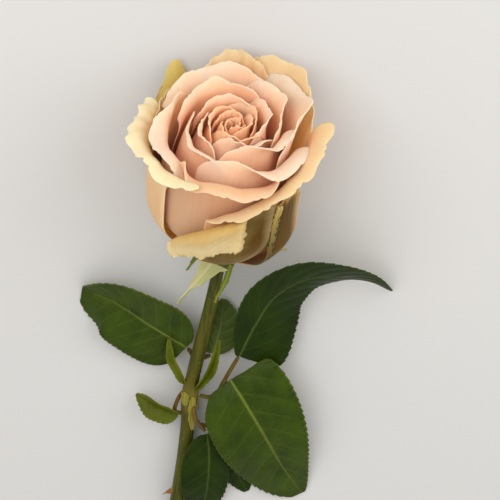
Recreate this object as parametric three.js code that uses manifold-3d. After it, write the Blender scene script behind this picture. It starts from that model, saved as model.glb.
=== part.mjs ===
// A cut rose stem laid down on its side: bloom, hip, sepals, stem with prickles, three compound leaves.
// Millimetres, +Z up. The stem runs along Y with the bloom towards +Y.

import * as THREE from "three";
import { mergeVertices } from "three/addons/utils/BufferGeometryUtils.js";
import Module from "manifold-3d";

const wasm = await Module();
wasm.setup();

// Place of the hip, where bloom and stem meet, above the middle of the part's footprint
const HIP = new THREE.Vector3(-9.2, 123.8, 19);

// Direction in which the bloom faces: turned a little to -X and raised above the surface
const BLOOM_YAW = THREE.MathUtils.degToRad(6.3);
const BLOOM_RISE = THREE.MathUtils.degToRad(18);

// Thickness of each kind of blade
const PETAL_THICKNESS = 0.6;
const LEAF_THICKNESS = 0.7;
const SEPAL_THICKNESS = 0.9;

// Space kept between a petal and those outside it
const PETAL_GAP = 0.12;

// Bloom: its rims sink at the front, it opens wider at the back, and its waist sways to one side
const BLOOM_HEIGHT = 66;
const BLOOM_LEAN = 0.11;
const BLOOM_OPEN = 0.13;
const BLOOM_SWAY = 3;
const BLOOM_SHIFT = 2;

// Colours of each kind of piece
const COLOURS = {
  guard: 0xd9c386,
  outer: 0xf0d4a8,
  mid: 0xf3cbaa,
  inner: 0xf2b48e,
  heart: 0xf0a077,
  stem: 0x556012,
  hip: 0x6f8034,
  sepal: 0x8d9650,
  leaf: 0x35490d,
  youngLeaf: 0x7a8a20,
  rachis: 0x6d6f22,
};

const rad = THREE.MathUtils.degToRad;
const smooth = (x) => THREE.MathUtils.smoothstep(x, 0, 1);
const share = (x, [start, end]) => THREE.MathUtils.smoothstep(x, start, end);
const rose = new THREE.Group();

function addPiece(name, geometry, colour, roughness = 0.6) {
  const material = new THREE.MeshStandardMaterial({ color: colour, roughness, metalness: 0 });
  const mesh = new THREE.Mesh(geometry, material);
  mesh.name = name;
  rose.add(mesh);
  return mesh;
}

// A closed blade round a grid of middle points [across][along], lying no lower than the floor height
function bladeGeometry(grid, thickness, floor = -Infinity) {
  const across = grid.length;
  const along = grid[0].length;
  const half = thickness / 2;
  for (const line of grid) {
    for (const point of line) {
      point.z = Math.max(point.z, floor + half);
    }
  }
  const { clamp } = THREE.MathUtils;
  const at = (i, j) => grid[clamp(i, 0, across - 1)][clamp(j, 0, along - 1)];
  const positions = [];
  for (const side of [1, -1]) {
    for (let i = 0; i < across; i += 1) {
      for (let j = 0; j < along; j += 1) {
        const over = at(i + 1, j).clone().sub(at(i - 1, j));
        const up = at(i, j + 1).clone().sub(at(i, j - 1));
        const normal = over.cross(up).normalize();
        const point = at(i, j).clone().addScaledVector(normal, side * half);
        positions.push(point.x, point.y, Math.max(point.z, floor));
      }
    }
  }
  const count = across * along;
  const front = (i, j) => i * along + j;
  const back = (i, j) => count + i * along + j;
  const index = [];
  const quad = (a, b, c, d) => index.push(a, b, c, a, c, d);
  for (let i = 0; i < across - 1; i += 1) {
    for (let j = 0; j < along - 1; j += 1) {
      quad(front(i, j), front(i + 1, j), front(i + 1, j + 1), front(i, j + 1));
      index.push(back(i, j), back(i + 1, j + 1), back(i + 1, j));
      index.push(back(i, j), back(i, j + 1), back(i + 1, j + 1));
    }
    quad(front(i + 1, 0), front(i, 0), back(i, 0), back(i + 1, 0));
    quad(front(i, along - 1), front(i + 1, along - 1), back(i + 1, along - 1), back(i, along - 1));
  }
  for (let j = 0; j < along - 1; j += 1) {
    quad(front(0, j), front(0, j + 1), back(0, j + 1), back(0, j));
    quad(front(across - 1, j + 1), front(across - 1, j), back(across - 1, j), back(across - 1, j + 1));
  }
  const geometry = new THREE.BufferGeometry();
  geometry.setAttribute("position", new THREE.Float32BufferAttribute(positions, 3));
  geometry.setIndex(index);
  return geometry;
}

function toSolid(geometry) {
  const bare = geometry.clone();
  bare.deleteAttribute("normal");
  bare.deleteAttribute("uv");
  const merged = mergeVertices(bare, 1e-4);
  const mesh = new wasm.Mesh({
    numProp: 3,
    vertProperties: new Float32Array(merged.attributes.position.array),
    triVerts: new Uint32Array(merged.index.array),
  });
  return new wasm.Manifold(mesh);
}

function toGeometry(solid) {
  const mesh = solid.getMesh();
  const geometry = new THREE.BufferGeometry();
  geometry.setAttribute("position", new THREE.BufferAttribute(mesh.vertProperties, 3));
  geometry.setIndex(new THREE.BufferAttribute(mesh.triVerts, 1));
  return geometry;
}

function fuse(geometries) {
  const solids = geometries.map(toSolid);
  return toGeometry(solids.reduce((whole, solid) => whole.add(solid)));
}

// Bloom frame: its Z runs up the middle of the bloom, its -Y looks up and away from the surface
const bloomAxis = new THREE.Vector3(
  -Math.sin(BLOOM_YAW) * Math.cos(BLOOM_RISE),
  Math.cos(BLOOM_YAW) * Math.cos(BLOOM_RISE),
  Math.sin(BLOOM_RISE),
);
// The view from above, along which the bloom's front is turned up
const VIEW_YAW = rad(9);
const VIEW_TILT = rad(25);
const viewDirection = new THREE.Vector3(
  -Math.sin(VIEW_YAW) * Math.sin(VIEW_TILT),
  Math.cos(VIEW_YAW) * Math.sin(VIEW_TILT),
  Math.cos(VIEW_TILT),
);
const bloomFront = viewDirection.clone().addScaledVector(bloomAxis, -viewDirection.dot(bloomAxis));
const bloomBack = bloomFront.normalize().negate();
const bloomRight = bloomBack.clone().cross(bloomAxis).normalize();
const bloomFrame = new THREE.Matrix4().makeBasis(bloomRight, bloomBack, bloomAxis).setPosition(HIP);

// Petals. Angles in degrees: turn 0 is the front of the bloom, 90 its right and 180 its back.
const PETAL = {
  turn: 0,
  half: 50,
  belly: 30,
  bellyHeight: 30,
  rim: 32,
  top: 66,
  power: 2.2,
  foot: 6,
  rise: 0,
  roll: 90,
  rollWidth: 13,
  rollEnd: 1,
  rollFade: 0.1,
  rollLeft: [-3, -2],
  rollRight: [2, 3],
  widthSlant: 0,
  drop: 0.14,
  square: 2.6,
  slant: 0,
  tip: 0.02,
  peak: 0,
  tipWidth: 0.16,
  claw: 0.3,
  taper: 0.08,
  spiral: 0,
  tuck: 0,
  fan: 0,
  corner: 0,
  wave: 0.5,
  waves: 1.6,
  phase: 0,
};
const COLUMN_STEPS = 60;
// Where across a petal its tucked side starts to fall below its neighbour's rim, and where it ends
const TUCK_SPAN = [0.3, 1];
// How far up a petal its right side starts to fan out, and where that ends
const FAN_SPAN = [0.72, 1];

// Sideways shift of the bloom's middle at a height above the hip
function swayAt(height) {
  const lift = THREE.MathUtils.clamp(height / BLOOM_HEIGHT, 0, 1);
  return BLOOM_SWAY * Math.sin(Math.PI * lift) - BLOOM_SHIFT * lift ** 2;
}

// Radius of a petal before its margin rolls back, at a height above the hip
function wallRadius(petal, height) {
  if (height < petal.bellyHeight) {
    const lift = (height - petal.rise) / (petal.bellyHeight - petal.rise);
    return petal.foot + (petal.belly - petal.foot) * (1 - (1 - lift) ** 1.7);
  }
  const flare = (height - petal.bellyHeight) / (petal.top - petal.bellyHeight);
  return petal.belly + (petal.rim - petal.belly) * flare ** petal.power;
}

// Slope of the petal's wall against its length from the foot
function wallSlopes(petal) {
  const count = 90;
  const slopes = [];
  let length = 0;
  let radius = petal.foot;
  let height = petal.rise;
  for (let i = 1; i <= count; i += 1) {
    const nextHeight = petal.rise + (petal.top - petal.rise) * (i / count) ** 1.4;
    const nextRadius = wallRadius(petal, nextHeight);
    const step = Math.hypot(nextRadius - radius, nextHeight - height);
    slopes.push([length + step / 2, Math.atan2(nextRadius - radius, nextHeight - height)]);
    length += step;
    radius = nextRadius;
    height = nextHeight;
  }
  return { slopes, length };
}

function slopeAt(slopes, length) {
  let i = 0;
  while (i < slopes.length - 2 && slopes[i + 1][0] < length) {
    i += 1;
  }
  const [start, first] = slopes[i];
  const [end, second] = slopes[i + 1];
  const between = THREE.MathUtils.clamp((length - start) / (end - start), 0, 1);
  return first + (second - first) * between;
}

// One line of a petal from its foot to its margin, at u from -1 to 1 across it
function petalColumn(petal, u, wall) {
  const crown = petal.tip * Math.exp(-(((u - petal.peak) / petal.tipWidth) ** 2));
  const fall = petal.drop * Math.abs(u) ** petal.square + petal.tuck * share(-u, TUCK_SPAN);
  const corner = petal.corner * Math.abs(u) ** 5;
  const length = wall.length * (1 - fall + petal.slant * u + crown) - corner;
  const step = length / COLUMN_STEPS;
  const free = share(u, petal.rollLeft) * (1 - share(u, petal.rollRight));
  const roll = rad(petal.roll) * (1 - petal.rollFade * Math.abs(u) ** 3) * free;
  const rollWidth = petal.rollWidth * (1 + petal.widthSlant * u) - corner;
  const points = [[petal.foot, petal.rise]];
  let [radius, height] = points[0];
  for (let i = 0; i < COLUMN_STEPS; i += 1) {
    const along = (i + 0.5) * step;
    const curl = Math.max(0, 1 - (length - along) / rollWidth);
    const turned = petal.rollEnd < 1 ? smooth(curl / petal.rollEnd) : curl ** 1.5;
    const angle = slopeAt(wall.slopes, along) + roll * turned;
    radius += Math.sin(angle) * step;
    height += Math.cos(angle) * step;
    points.push([radius, height]);
  }
  return points;
}

function petalGrid(petal, across, along) {
  const wall = wallSlopes(petal);
  const grid = [];
  for (let i = 0; i < across; i += 1) {
    const u = -1 + (2 * i) / (across - 1);
    const column = petalColumn(petal, u, wall);
    const line = [];
    for (let j = 0; j < along; j += 1) {
      const v = 1 - (1 - j / (along - 1)) ** 1.5;
      const place = v * COLUMN_STEPS;
      const k = Math.min(COLUMN_STEPS - 1, Math.floor(place));
      const between = place - k;
      let radius = column[k][0] * (1 - between) + column[k + 1][0] * between;
      let height = column[k][1] * (1 - between) + column[k + 1][1] * between;
      const spread = (petal.claw + (1 - petal.claw) * smooth(v / 0.5)) * (1 - petal.taper * v ** 4);
      const fan = petal.fan * share(v, FAN_SPAN) * Math.max(0, u) ** 2;
      const turn = rad(petal.turn + petal.half * spread * u + fan);
      const ripple = petal.wave * v ** 5;
      radius += petal.spiral * u * smooth(v / 0.25);
      radius += ripple * Math.sin(petal.waves * u * Math.PI + petal.phase);
      height += 0.6 * ripple * Math.cos(1.7 * petal.waves * u * Math.PI + petal.phase);
      radius *= 1 + BLOOM_OPEN * (height / BLOOM_HEIGHT) ** 2 * (0.5 - 0.5 * Math.cos(turn));
      height -= (BLOOM_LEAN * radius * Math.cos(turn) * height) / BLOOM_HEIGHT;
      const point = new THREE.Vector3(radius * Math.sin(turn), -radius * Math.cos(turn), height);
      point.x -= swayAt(height);
      line.push(point.applyMatrix4(bloomFrame));
    }
    grid.push(line);
  }
  return grid;
}

// The petals made so far, each thickened by the space kept round it
const outsidePetals = [];

// One solid from some petals, trimmed where it would meet petals outside it, down to its largest piece
function petalGeometry(petals, across, along) {
  const blades = (thickness) =>
    petals.map((petal) => bladeGeometry(petalGrid({ ...PETAL, ...petal }, across, along), thickness, 0));
  const whole = blades(PETAL_THICKNESS).map(toSolid).reduce((solid, other) => solid.add(other));
  const trimmed = outsidePetals.reduce((solid, other) => solid.subtract(other), whole);
  const [largest] = trimmed.decompose().sort((a, b) => b.volume() - a.volume());
  outsidePetals.push(...blades(PETAL_THICKNESS).map(toSolid));
  outsidePetals.push(...blades(PETAL_THICKNESS + 2 * PETAL_GAP).map(toSolid));
  return toGeometry(largest);
}

// The outermost petals, larger and tougher than the rest, and greenish
const GUARD_PETALS = [
  { turn: -11, half: 29, rim: 31, top: 57.2, roll: 195, rollWidth: 22, widthSlant: 0.4,
   rollEnd: 0.5, slant: 0.29, drop: 0, corner: 8, taper: 0, wave: 0.7, phase: 1, tip: 0 },
  { turn: 52, half: 36, belly: 30.2, bellyHeight: 20, rim: 30.3, top: 45, roll: 4,
   rollWidth: 8, drop: 0.06, square: 4, wave: 0.4, waves: 2.4, phase: 0.4, claw: 0.5 },
  { turn: -141, half: 31, rim: 35.5, top: 58, roll: 20, rollWidth: 16, tip: 0.09,
   tipWidth: 0.4, peak: -0.15, drop: 0.3, square: 1.6 },
];
GUARD_PETALS.forEach((petal, i) => {
  const placed = { belly: 30, foot: 7.6, rise: -1.2, ...petal };
  addPiece(`petal_guard_${i + 1}`, petalGeometry([placed], 13, 11), COLOURS.guard);
});

// Outer petals, cream, with wide rolled margins: two outermost, two half tucked in, two tucked in
const OUTER_PETALS = [
  { turn: 44, half: 56, rim: 29.6, top: 62.5, roll: 112, rollWidth: 12,
   widthSlant: -0.15, slant: 0.14, drop: 0.05, square: 4, rollLeft: [-1.5, -0.6],
   rollFade: 0, phase: 2, tip: 0 },
  { turn: -84, half: 38, rim: 30.2, top: 67, roll: 112, rollWidth: 13, drop: 0.02,
   widthSlant: 0.3, slant: 0.05, waves: 1.7, phase: 0.6, tip: 0, fan: 32,
   rollRight: [0.78, 1.3], claw: 0.6 },
  { turn: 140, half: 46, rim: 30.9, top: 68.5, roll: 40, rollWidth: 12, drop: 0.17,
   square: 2, tip: 0.05, peak: 0.65, tipWidth: 0.3, rollLeft: [-0.5, 0.1] },
  { turn: -128, half: 36, rim: 29, top: 60, roll: 30, rollWidth: 11,
   rollRight: [-0.1, 0.5] },
  { turn: -172, half: 42, rim: 28.8, top: 67, roll: 40, rollWidth: 12, tip: 0.05,
   peak: -0.3, tipWidth: 0.35, waves: 2.2, phase: 1.3, rollLeft: [-0.45, 0], rollRight: [0, 0.45] },
  { turn: -4, half: 56, rim: 27.2, top: 68.5, roll: 120, rollWidth: 15, drop: 0.11, slant: -0.02,
   tuck: 0.06, phase: 0.8, rollLeft: [-0.7, -0.3], rollRight: [0.6, 1] },
];
OUTER_PETALS.forEach((petal, i) => {
  const layer = Math.floor(i / 2);
  const placed = { belly: 28.6 - 1.4 * layer, foot: 7 - 0.65 * layer, rise: 0.2 + 1.4 * layer, ...petal };
  addPiece(`petal_outer_${i + 1}`, petalGeometry([placed], 13, 10), COLOURS.outer);
});

// Each petal of an inner ring has one margin tucked under its neighbour
const TUCKED = [-0.45, 0.2];

// A ring of like petals, with small seeded differences between them
function ringPetals(ring) {
  const petals = [];
  for (let i = 0; i < ring.turns.length; i += 1) {
    const turn = ring.turns[i];
    const first = 43758.5453 * Math.sin(12.9898 * (i + 1) + 78.233 * ring.belly);
    const second = 24634.6345 * Math.sin(39.425 * (i + 1) + 11.135 * ring.belly);
    const sideways = first - Math.floor(first) - 0.5;
    const upward = second - Math.floor(second) - 0.5;
    petals.push({
      turn,
      half: ring.halves[i],
      belly: ring.belly,
      bellyHeight: ring.bellyHeight,
      rim: ring.rim + 0.8 * sideways,
      top: ring.top + 2.5 * upward,
      roll: ring.rolls[i],
      rollWidth: ring.rollWidth,
      foot: ring.foot,
      rise: ring.rise,
      spiral: ring.spiral,
      rollLeft: TUCKED,
      drop: ring.drop,
      square: 7,
      tuck: ring.tuck,
      taper: 0,
      claw: 0.4,
      wave: ring.wave,
      waves: 1.7 + sideways,
      phase: 6.28 * (sideways + 0.5),
    });
  }
  return petals;
}
const RINGS = [
  { name: "mid", turns: [29, 112, -170, -83], halves: [60, 54, 54, 50], belly: 23.4,
   bellyHeight: 30, rim: 22.8, top: 68, rolls: [145, 95, 65, 118], rollWidth: 12.5,
   foot: 4.9, rise: 4.8, spiral: 1.1, drop: 0.1,
   wave: 0.4, tuck: 0.02 },
  { name: "inner", turns: [42, 118, -157, -62], halves: [56, 54, 58, 60], belly: 19.7,
   bellyHeight: 29.5, rim: 16, top: 67.5, rolls: [125, 78, 50, 95], rollWidth: 8.5,
   foot: 4.2, rise: 6.8,
   spiral: 1.1, drop: 0.1, wave: 0.3, tuck: 0.02 },
  { name: "centre", turns: [16, 98, -166, -76], halves: [60, 62, 62, 58], belly: 15.8,
   bellyHeight: 29, rim: 10.3, top: 67, rolls: [105, 70, 42, 80], rollWidth: 7,
   foot: 3.6, rise: 9, spiral: 1.1, drop: 0.1, wave: 0.2, tuck: 0.03 },
];
for (const ring of RINGS) {
  const colour = ring.name === "mid" ? COLOURS.mid : COLOURS.inner;
  ringPetals(ring).forEach((petal, i) => {
    addPiece(`petal_${ring.name}_${i + 1}`, petalGeometry([petal], 10, 9), colour);
  });
}

// The heart: the smallest petals, grown together round the middle of the bloom
const HEART_RINGS = [
  { turns: [0, 124, -118], halves: [76, 76, 76], belly: 12.6, bellyHeight: 28, rim: 7.4,
   top: 66.5, rolls: [85, 60, 55], rollWidth: 5, foot: 2.4, rise: 11, spiral: 1.1,
   drop: 0.08, wave: 0.2, tuck: 0.03 },
  { turns: [70, -168, -52], halves: [80, 80, 80], belly: 9, bellyHeight: 27, rim: 4.8,
   top: 65.5, rolls: [60, 35, 60], rollWidth: 4, foot: 1.8, rise: 13, spiral: 1,
   drop: 0.08, wave: 0.2, tuck: 0.03 },
  { turns: [20, 142, -102], halves: [84, 84, 84], belly: 5.4, bellyHeight: 25, rim: 2.6,
   top: 64.5, rolls: [40, 25, 30], rollWidth: 3, foot: 1.2, rise: 15, spiral: 0.9,
   drop: 0.08, wave: 0.1, tuck: 0.03 },
];
const HEART_CORE = [[0, 10.4], [2.9, 10.4], [3.5, 13], [2.8, 18], [1.2, 24], [0, 28]];

function latheGeometry(profile, segments) {
  const points = profile.map(([radius, height]) => new THREE.Vector2(radius, height));
  const geometry = new THREE.LatheGeometry(points, segments);
  geometry.rotateX(Math.PI / 2);
  return geometry;
}
const heartCore = latheGeometry(HEART_CORE, 12);
heartCore.translate(-swayAt(HEART_CORE[1][1]), 0, 0).applyMatrix4(bloomFrame);
const heartPetals = petalGeometry(HEART_RINGS.flatMap(ringPetals), 7, 7);
addPiece("bloom_heart", fuse([heartCore, heartPetals]), COLOURS.heart);

// The hip below the petals, and the cone inside the bloom that carries them
const HIP_PROFILE = [
  [0, -11],
  [2.5, -11],
  [3.4, -9.6],
  [5.2, -6.4],
  [6.2, -3.6],
  [6.7, -1.7],
  [2.3, 9],
  [0, 10],
];
addPiece("hip", latheGeometry(HIP_PROFILE, 16).applyMatrix4(bloomFrame), COLOURS.hip);

// A point given from the foot of the hip: x and y from the hip's middle, z from the surface below
const place = ([x, y, z]) => new THREE.Vector3(HIP.x + x, HIP.y + y, z);
const UP = new THREE.Vector3(0, 0, 1);

// Sepals: each turns about the bloom's axis from its base to its tip, and ends at [radius, height].
// From the share of its length named thread on, a sepal is only a thread.
const SEPAL_BASE = [7.4, -2.9];
const SEPALS = [
  { turn: [-38, -76], end: [19, -29], halfWidth: 7.4, bulge: 2.4, thread: 0.52 },
  { turn: [-112, -92], end: [15, -14], halfWidth: 3, bulge: 0.5, thread: 0.8 },
  { turn: [24, -22], end: [7, -25], halfWidth: 1.6, bulge: 2.2, thread: 0.9 },
  { turn: [84, 84], end: [26, 4], halfWidth: 3.6, bulge: -3, thread: 0.8 },
  { turn: [-176, -160], end: [9, -23], halfWidth: 3.4, bulge: 1, thread: 0.8 },
];
const SEPAL_STATIONS = 12;

function sepalGrid(sepal) {
  const { lerp } = THREE.MathUtils;
  const grid = [];
  for (const u of [-1, 0, 1]) {
    const line = [];
    for (let j = 0; j < SEPAL_STATIONS; j += 1) {
      const s = j / (SEPAL_STATIONS - 1);
      const radius = lerp(SEPAL_BASE[0], sepal.end[0], s) + sepal.bulge * Math.sin(Math.PI * s);
      const height = lerp(SEPAL_BASE[1], sepal.end[1], s);
      const narrowing = Math.max(0, 1 - s / sepal.thread) ** 1.3;
      const halfWidth = 0.7 * sepal.halfWidth * (1 + s) * narrowing + 0.45;
      const turn = rad(lerp(sepal.turn[0], sepal.turn[1], s));
      const outward = new THREE.Vector3(Math.sin(turn), -Math.cos(turn), 0);
      const sideways = new THREE.Vector3(Math.cos(turn), Math.sin(turn), 0);
      const point = outward.multiplyScalar(radius - 0.22 * halfWidth * Math.abs(u));
      point.addScaledVector(sideways, u * halfWidth).setZ(height);
      line.push(point.applyMatrix4(bloomFrame));
    }
    grid.push(line);
  }
  return grid;
}
SEPALS.forEach((sepal, i) => {
  addPiece(`sepal_${i + 1}`, bladeGeometry(sepalGrid(sepal), SEPAL_THICKNESS, 0), COLOURS.sepal);
});

// Stem: a round profile of [radius, distance from the hip], bent along the stem's line
const STEM_LINE = [
  [-0.7, -10.9, 16.1],
  [-1, -28, 11.5],
  [-1.9, -44, 9],
  [-2.7, -55, 7.9],
  [-3.5, -75.5, 6.5],
  [-2.1, -95, 5.5],
  [-1.4, -121.5, 4.6],
  [-1.8, -160, 3.9],
  [-3, -200, 3.7],
  [-1.4, -250, 3.5],
  [0.6, -295, 3.4],
  [0.4, -330, 3.4],
];
const STEM_PROFILE = [
  [0, 0],
  [2.4, 0],
  [2.6, 8],
  [2.8, 24],
  [2.95, 44],
  [3, 58],
  [3.5, 63],
  [3.8, 67],
  [3.5, 71],
  [3, 76],
  [3, 100],
  [3.05, 128],
  [3.1, 156],
  [3.2, 182],
  [3.7, 188],
  [3.75, 191],
  [3.2, 196],
  [3.25, 222],
  [3.3, 250],
  [3.35, 277],
  [3.4, 300],
  [3.4, 318],
  [0, 318],
];
// Prickles: [distance along the stem, turn round it in degrees, height]
const PRICKLES = [
  [92, 60, 4.6],
  [116, -70, 5],
  [146, 20, 5.2],
  [171, 118, 4.8],
  [214, -50, 5.2],
  [243, 75, 5],
  [281, -20, 4.6],
];
const PRICKLE_SINK = 1.2;

const stemCurve = new THREE.CatmullRomCurve3(STEM_LINE.map(place), false, "centripetal");
const STEM_PROFILE_LENGTH = STEM_PROFILE[STEM_PROFILE.length - 1][1];

// Middle, sideways and upward directions of the stem at a distance from the hip
function stemFrame(distance) {
  const fraction = THREE.MathUtils.clamp(distance / STEM_PROFILE_LENGTH, 0, 1);
  const middle = stemCurve.getPointAt(fraction);
  const ahead = stemCurve.getTangentAt(fraction);
  const sideways = UP.clone().cross(ahead).normalize();
  const upward = ahead.clone().cross(sideways).normalize();
  return { middle, ahead, sideways, upward };
}

function bendAlongStem(geometry) {
  const position = geometry.attributes.position;
  for (let i = 0; i < position.count; i += 1) {
    const { middle, sideways, upward } = stemFrame(position.getZ(i));
    middle.addScaledVector(sideways, position.getX(i)).addScaledVector(upward, position.getY(i));
    position.setXYZ(i, middle.x, middle.y, Math.max(0, middle.z));
  }
  return geometry;
}

function prickleGeometry([distance, turn, height]) {
  const cone = new THREE.ConeGeometry(1, height + PRICKLE_SINK, 6);
  cone.scale(1.1, 1, 2.6);
  cone.translate(0, (height + PRICKLE_SINK) / 2, 0);
  const position = cone.attributes.position;
  for (let i = 0; i < position.count; i += 1) {
    const rise = position.getY(i) / (height + PRICKLE_SINK);
    position.setZ(i, position.getZ(i) + 2.4 * rise ** 2);
  }
  const { middle, ahead, sideways, upward } = stemFrame(distance);
  const outward = upward.clone().multiplyScalar(Math.cos(rad(turn)));
  outward.addScaledVector(sideways, Math.sin(rad(turn)));
  const across = outward.clone().cross(ahead).normalize();
  const radius = 3 - PRICKLE_SINK;
  const frame = new THREE.Matrix4().makeBasis(across, outward, ahead);
  frame.setPosition(middle.addScaledVector(outward, radius));
  return cone.applyMatrix4(frame);
}
const stemTube = bendAlongStem(latheGeometry(STEM_PROFILE, 12));
addPiece("stem", fuse([stemTube, ...PRICKLES.map(prickleGeometry)]), COLOURS.stem, 0.5);

// Leaflets: a midrib, and two wings that lift by an angle above the surface, at the base and at the tip
const LEAFLET = {
  stations: 16,
  halfWidth: [10, 10],
  lift: [[10, 10], [10, 10]],
  shoulder: [0.5, 0.5],
  point: [0.8, 0.8],
  droop: 0.1,
  wave: 0.6,
  waves: 2,
  tooth: 1,
};
const LEAF_ACROSS = [-1, -0.5, 0, 0.5, 1];

// Half width of a leaflet along its midrib: it rises at the shoulder and runs out to a point
function leafOutline(leaf, side, s) {
  const shoulder = leaf.shoulder[side];
  const point = leaf.point[side];
  const widest = shoulder / (shoulder + point);
  return (s / widest) ** shoulder * ((1 - s) / (1 - widest)) ** point;
}

function leafletGrid(leaf) {
  const midrib = new THREE.CatmullRomCurve3(leaf.midrib.map(place), false, "centripetal");
  const last = leaf.stations - 1;
  return LEAF_ACROSS.map((u) => {
    const side = u < 0 ? 0 : 1;
    const line = [];
    for (let j = 0; j <= last; j += 1) {
      const s = THREE.MathUtils.lerp(0.012, 0.988, j / last);
      const middle = midrib.getPointAt(s);
      const ahead = midrib.getTangentAt(s);
      const level = UP.clone().cross(ahead).normalize();
      const [base, tip] = leaf.lift[side];
      const lift = rad(THREE.MathUtils.lerp(base, tip, s));
      const width = Math.abs(u) * leaf.halfWidth[side] * leafOutline(leaf, side, s);
      const wing = level.multiplyScalar((side ? -1 : 1) * Math.cos(lift));
      wing.addScaledVector(UP, Math.sin(lift));
      const isTooth = Math.abs(u) === 1 && j % 2 === 1 && j < last;
      const reach = isTooth ? leaf.tooth : 0;
      middle.addScaledVector(wing, width + 0.6 * reach + 0.4 * Math.abs(u));
      middle.addScaledVector(ahead, 0.7 * reach);
      const ripple = leaf.wave * Math.sin(leaf.waves * 2 * Math.PI * s + (side ? 1.5 : 0)) * u * u;
      middle.z += ripple - leaf.droop * Math.abs(u) * width;
      line.push(middle);
    }
    return line;
  });
}

const LEAFLETS = {
  leaf_left_leaflet_1: {
    midrib: [[-7.6, -54.6, 6], [-24.8, -44.2, 10], [-40.7, -36.6, 8.5], [-55.7, -36.2, 0.4]],
    stations: 26, halfWidth: [18, 16], lift: [[-4, 2], [10, 50]], shoulder: [0.2, 0.5], point: [0.34, 0.6],
  },
  leaf_left_leaflet_2: {
    midrib: [[3.4, -57.5, 3], [4.9, -44.8, 3.6], [4.4, -31, 2]],
    stations: 12, halfWidth: [7, 8], lift: [[0, 0], [0, 0]], wave: 0.2,
  },
  leaf_right_leaflet_1: {
    midrib: [[14.1, -54, 10], [18.4, -35.3, 14], [24.1, -19.1, 18], [34.8, -9.1, 19], [49.3, -7.4, 15],
      [62.8, -10.5, 8], [74.4, -17.4, 0.4]],
    stations: 30, halfWidth: [13, 19], lift: [[10, 60], [0, -70]], shoulder: [0.8, 0.12], point: [0.8, 1.1],
  },
  leaf_right_leaflet_2: {
    midrib: [[11.7, -63.9, 10.5], [18, -70.2, 14], [29.8, -86, 14], [42.8, -107, 7], [53.9, -122.5, 0.4]],
    stations: 30, halfWidth: [21.5, 21], lift: [[8, 4], [6, 2]], shoulder: [0.12, 0.3], point: [0.75, 0.5],
  },
  leaf_low_leaflet_1: {
    midrib: [[6.3, -92.4, 10], [9, -103.5, 10.8], [10.6, -120.6, 8.6], [10.6, -143.4, 0.4]],
    stations: 20, halfWidth: [9, 12], lift: [[-15, -15], [12, 20]],
  },
  leaf_low_leaflet_2: {
    midrib: [[9.8, -93.5, 4.6], [18.3, -107.3, 4.6], [29.2, -125.4, 0.4]],
    stations: 16, halfWidth: [8, 8], lift: [[0, 0], [-8, 0]],
  },
  leaf_young: {
    midrib: [[-6.6, -86.6, 6], [-12.9, -85.4, 7.5], [-19.8, -83, 7.5], [-26.3, -81.1, 4]],
    stations: 14, halfWidth: [6, 6], lift: [[40, 30], [60, 40]], colour: COLOURS.youngLeaf,
  },
  shoot_left: {
    midrib: [[-8.6, -68, 7.6], [-13.9, -59, 9], [-16.2, -49, 10]],
    stations: 9, halfWidth: [2.4, 2.4], lift: [[50, 30], [50, 30]], tooth: 0.4, colour: COLOURS.youngLeaf,
  },
  shoot_right: {
    midrib: [[0.2, -69.5, 8.6], [2.9, -64, 9.6], [4.2, -56, 11.5], [4.6, -44.7, 13]],
    stations: 10, halfWidth: [3.4, 3.4], lift: [[60, 50], [60, 50]], tooth: 0.5, colour: COLOURS.youngLeaf,
  },
};
for (const [name, leaflet] of Object.entries(LEAFLETS)) {
  const leaf = { ...LEAFLET, ...leaflet };
  const geometry = bladeGeometry(leafletGrid(leaf), LEAF_THICKNESS, 0);
  addPiece(name, geometry, leaf.colour ?? COLOURS.leaf, 0.45);
}

// Leaf stalks: round tubes of a radius along their points
function stalkGeometry(points, radius) {
  const section = new THREE.Shape();
  section.absarc(0, 0, radius, 0, 2 * Math.PI);
  const path = new THREE.CatmullRomCurve3(points.map(place), false, "centripetal");
  const steps = 3 * points.length;
  return new THREE.ExtrudeGeometry(section, { steps, extrudePath: path, curveSegments: 3 });
}
const STALKS = {
  leaf_left_stalk: [
    [[-3, -72.6, 1.6], [-3.4, -64, 1.8], [-5.6, -58.6, 2.6], [-7.4, -55.8, 4.4]],
    [[-3.1, -66, 1.7], [-1, -61.6, 1.9], [2.8, -58.4, 2.4]],
  ],
  leaf_right_stalk: [
    [[0.9, -76.4, 6.4], [5, -76.5, 7], [8.2, -72.5, 8], [10.9, -65.4, 9.4]],
    [[8.6, -71.4, 8.2], [11.6, -62, 8.4], [14.3, -53.4, 9.7]],
  ],
  leaf_low_stalk: [
    [[-1, -80.5, 10], [0.6, -86, 10.4], [5.6, -91.7, 10]],
    [[2.6, -88.6, 10.2], [6, -90.4, 7.4], [9.6, -93.2, 4.8]],
  ],
  leaf_young_stalk: [[[-7.9, -78.4, 7.2], [-8.6, -81.6, 7], [-8.9, -84.6, 6.7]]],
};
const STALK_RADIUS = 0.9;
for (const [name, branches] of Object.entries(STALKS)) {
  addPiece(name, fuse(branches.map((points) => stalkGeometry(points, STALK_RADIUS))), COLOURS.rachis);
}

export default rose;
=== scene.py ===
# %% [markdown]
# # A cut rose lying on its side
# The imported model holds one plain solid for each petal, sepal, leaflet and stalk of the rose.
# This script gives each of them the surface of the living part: thinner tissue, finer margins,
# veins, and a finish for each of its two sides. The tables are in millimetres, as in the part's
# source, and one factor turns them to Blender's metres.

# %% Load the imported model
import math
from types import SimpleNamespace

import bmesh
import bpy
import numpy as np
from mathutils import Matrix, Vector


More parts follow.
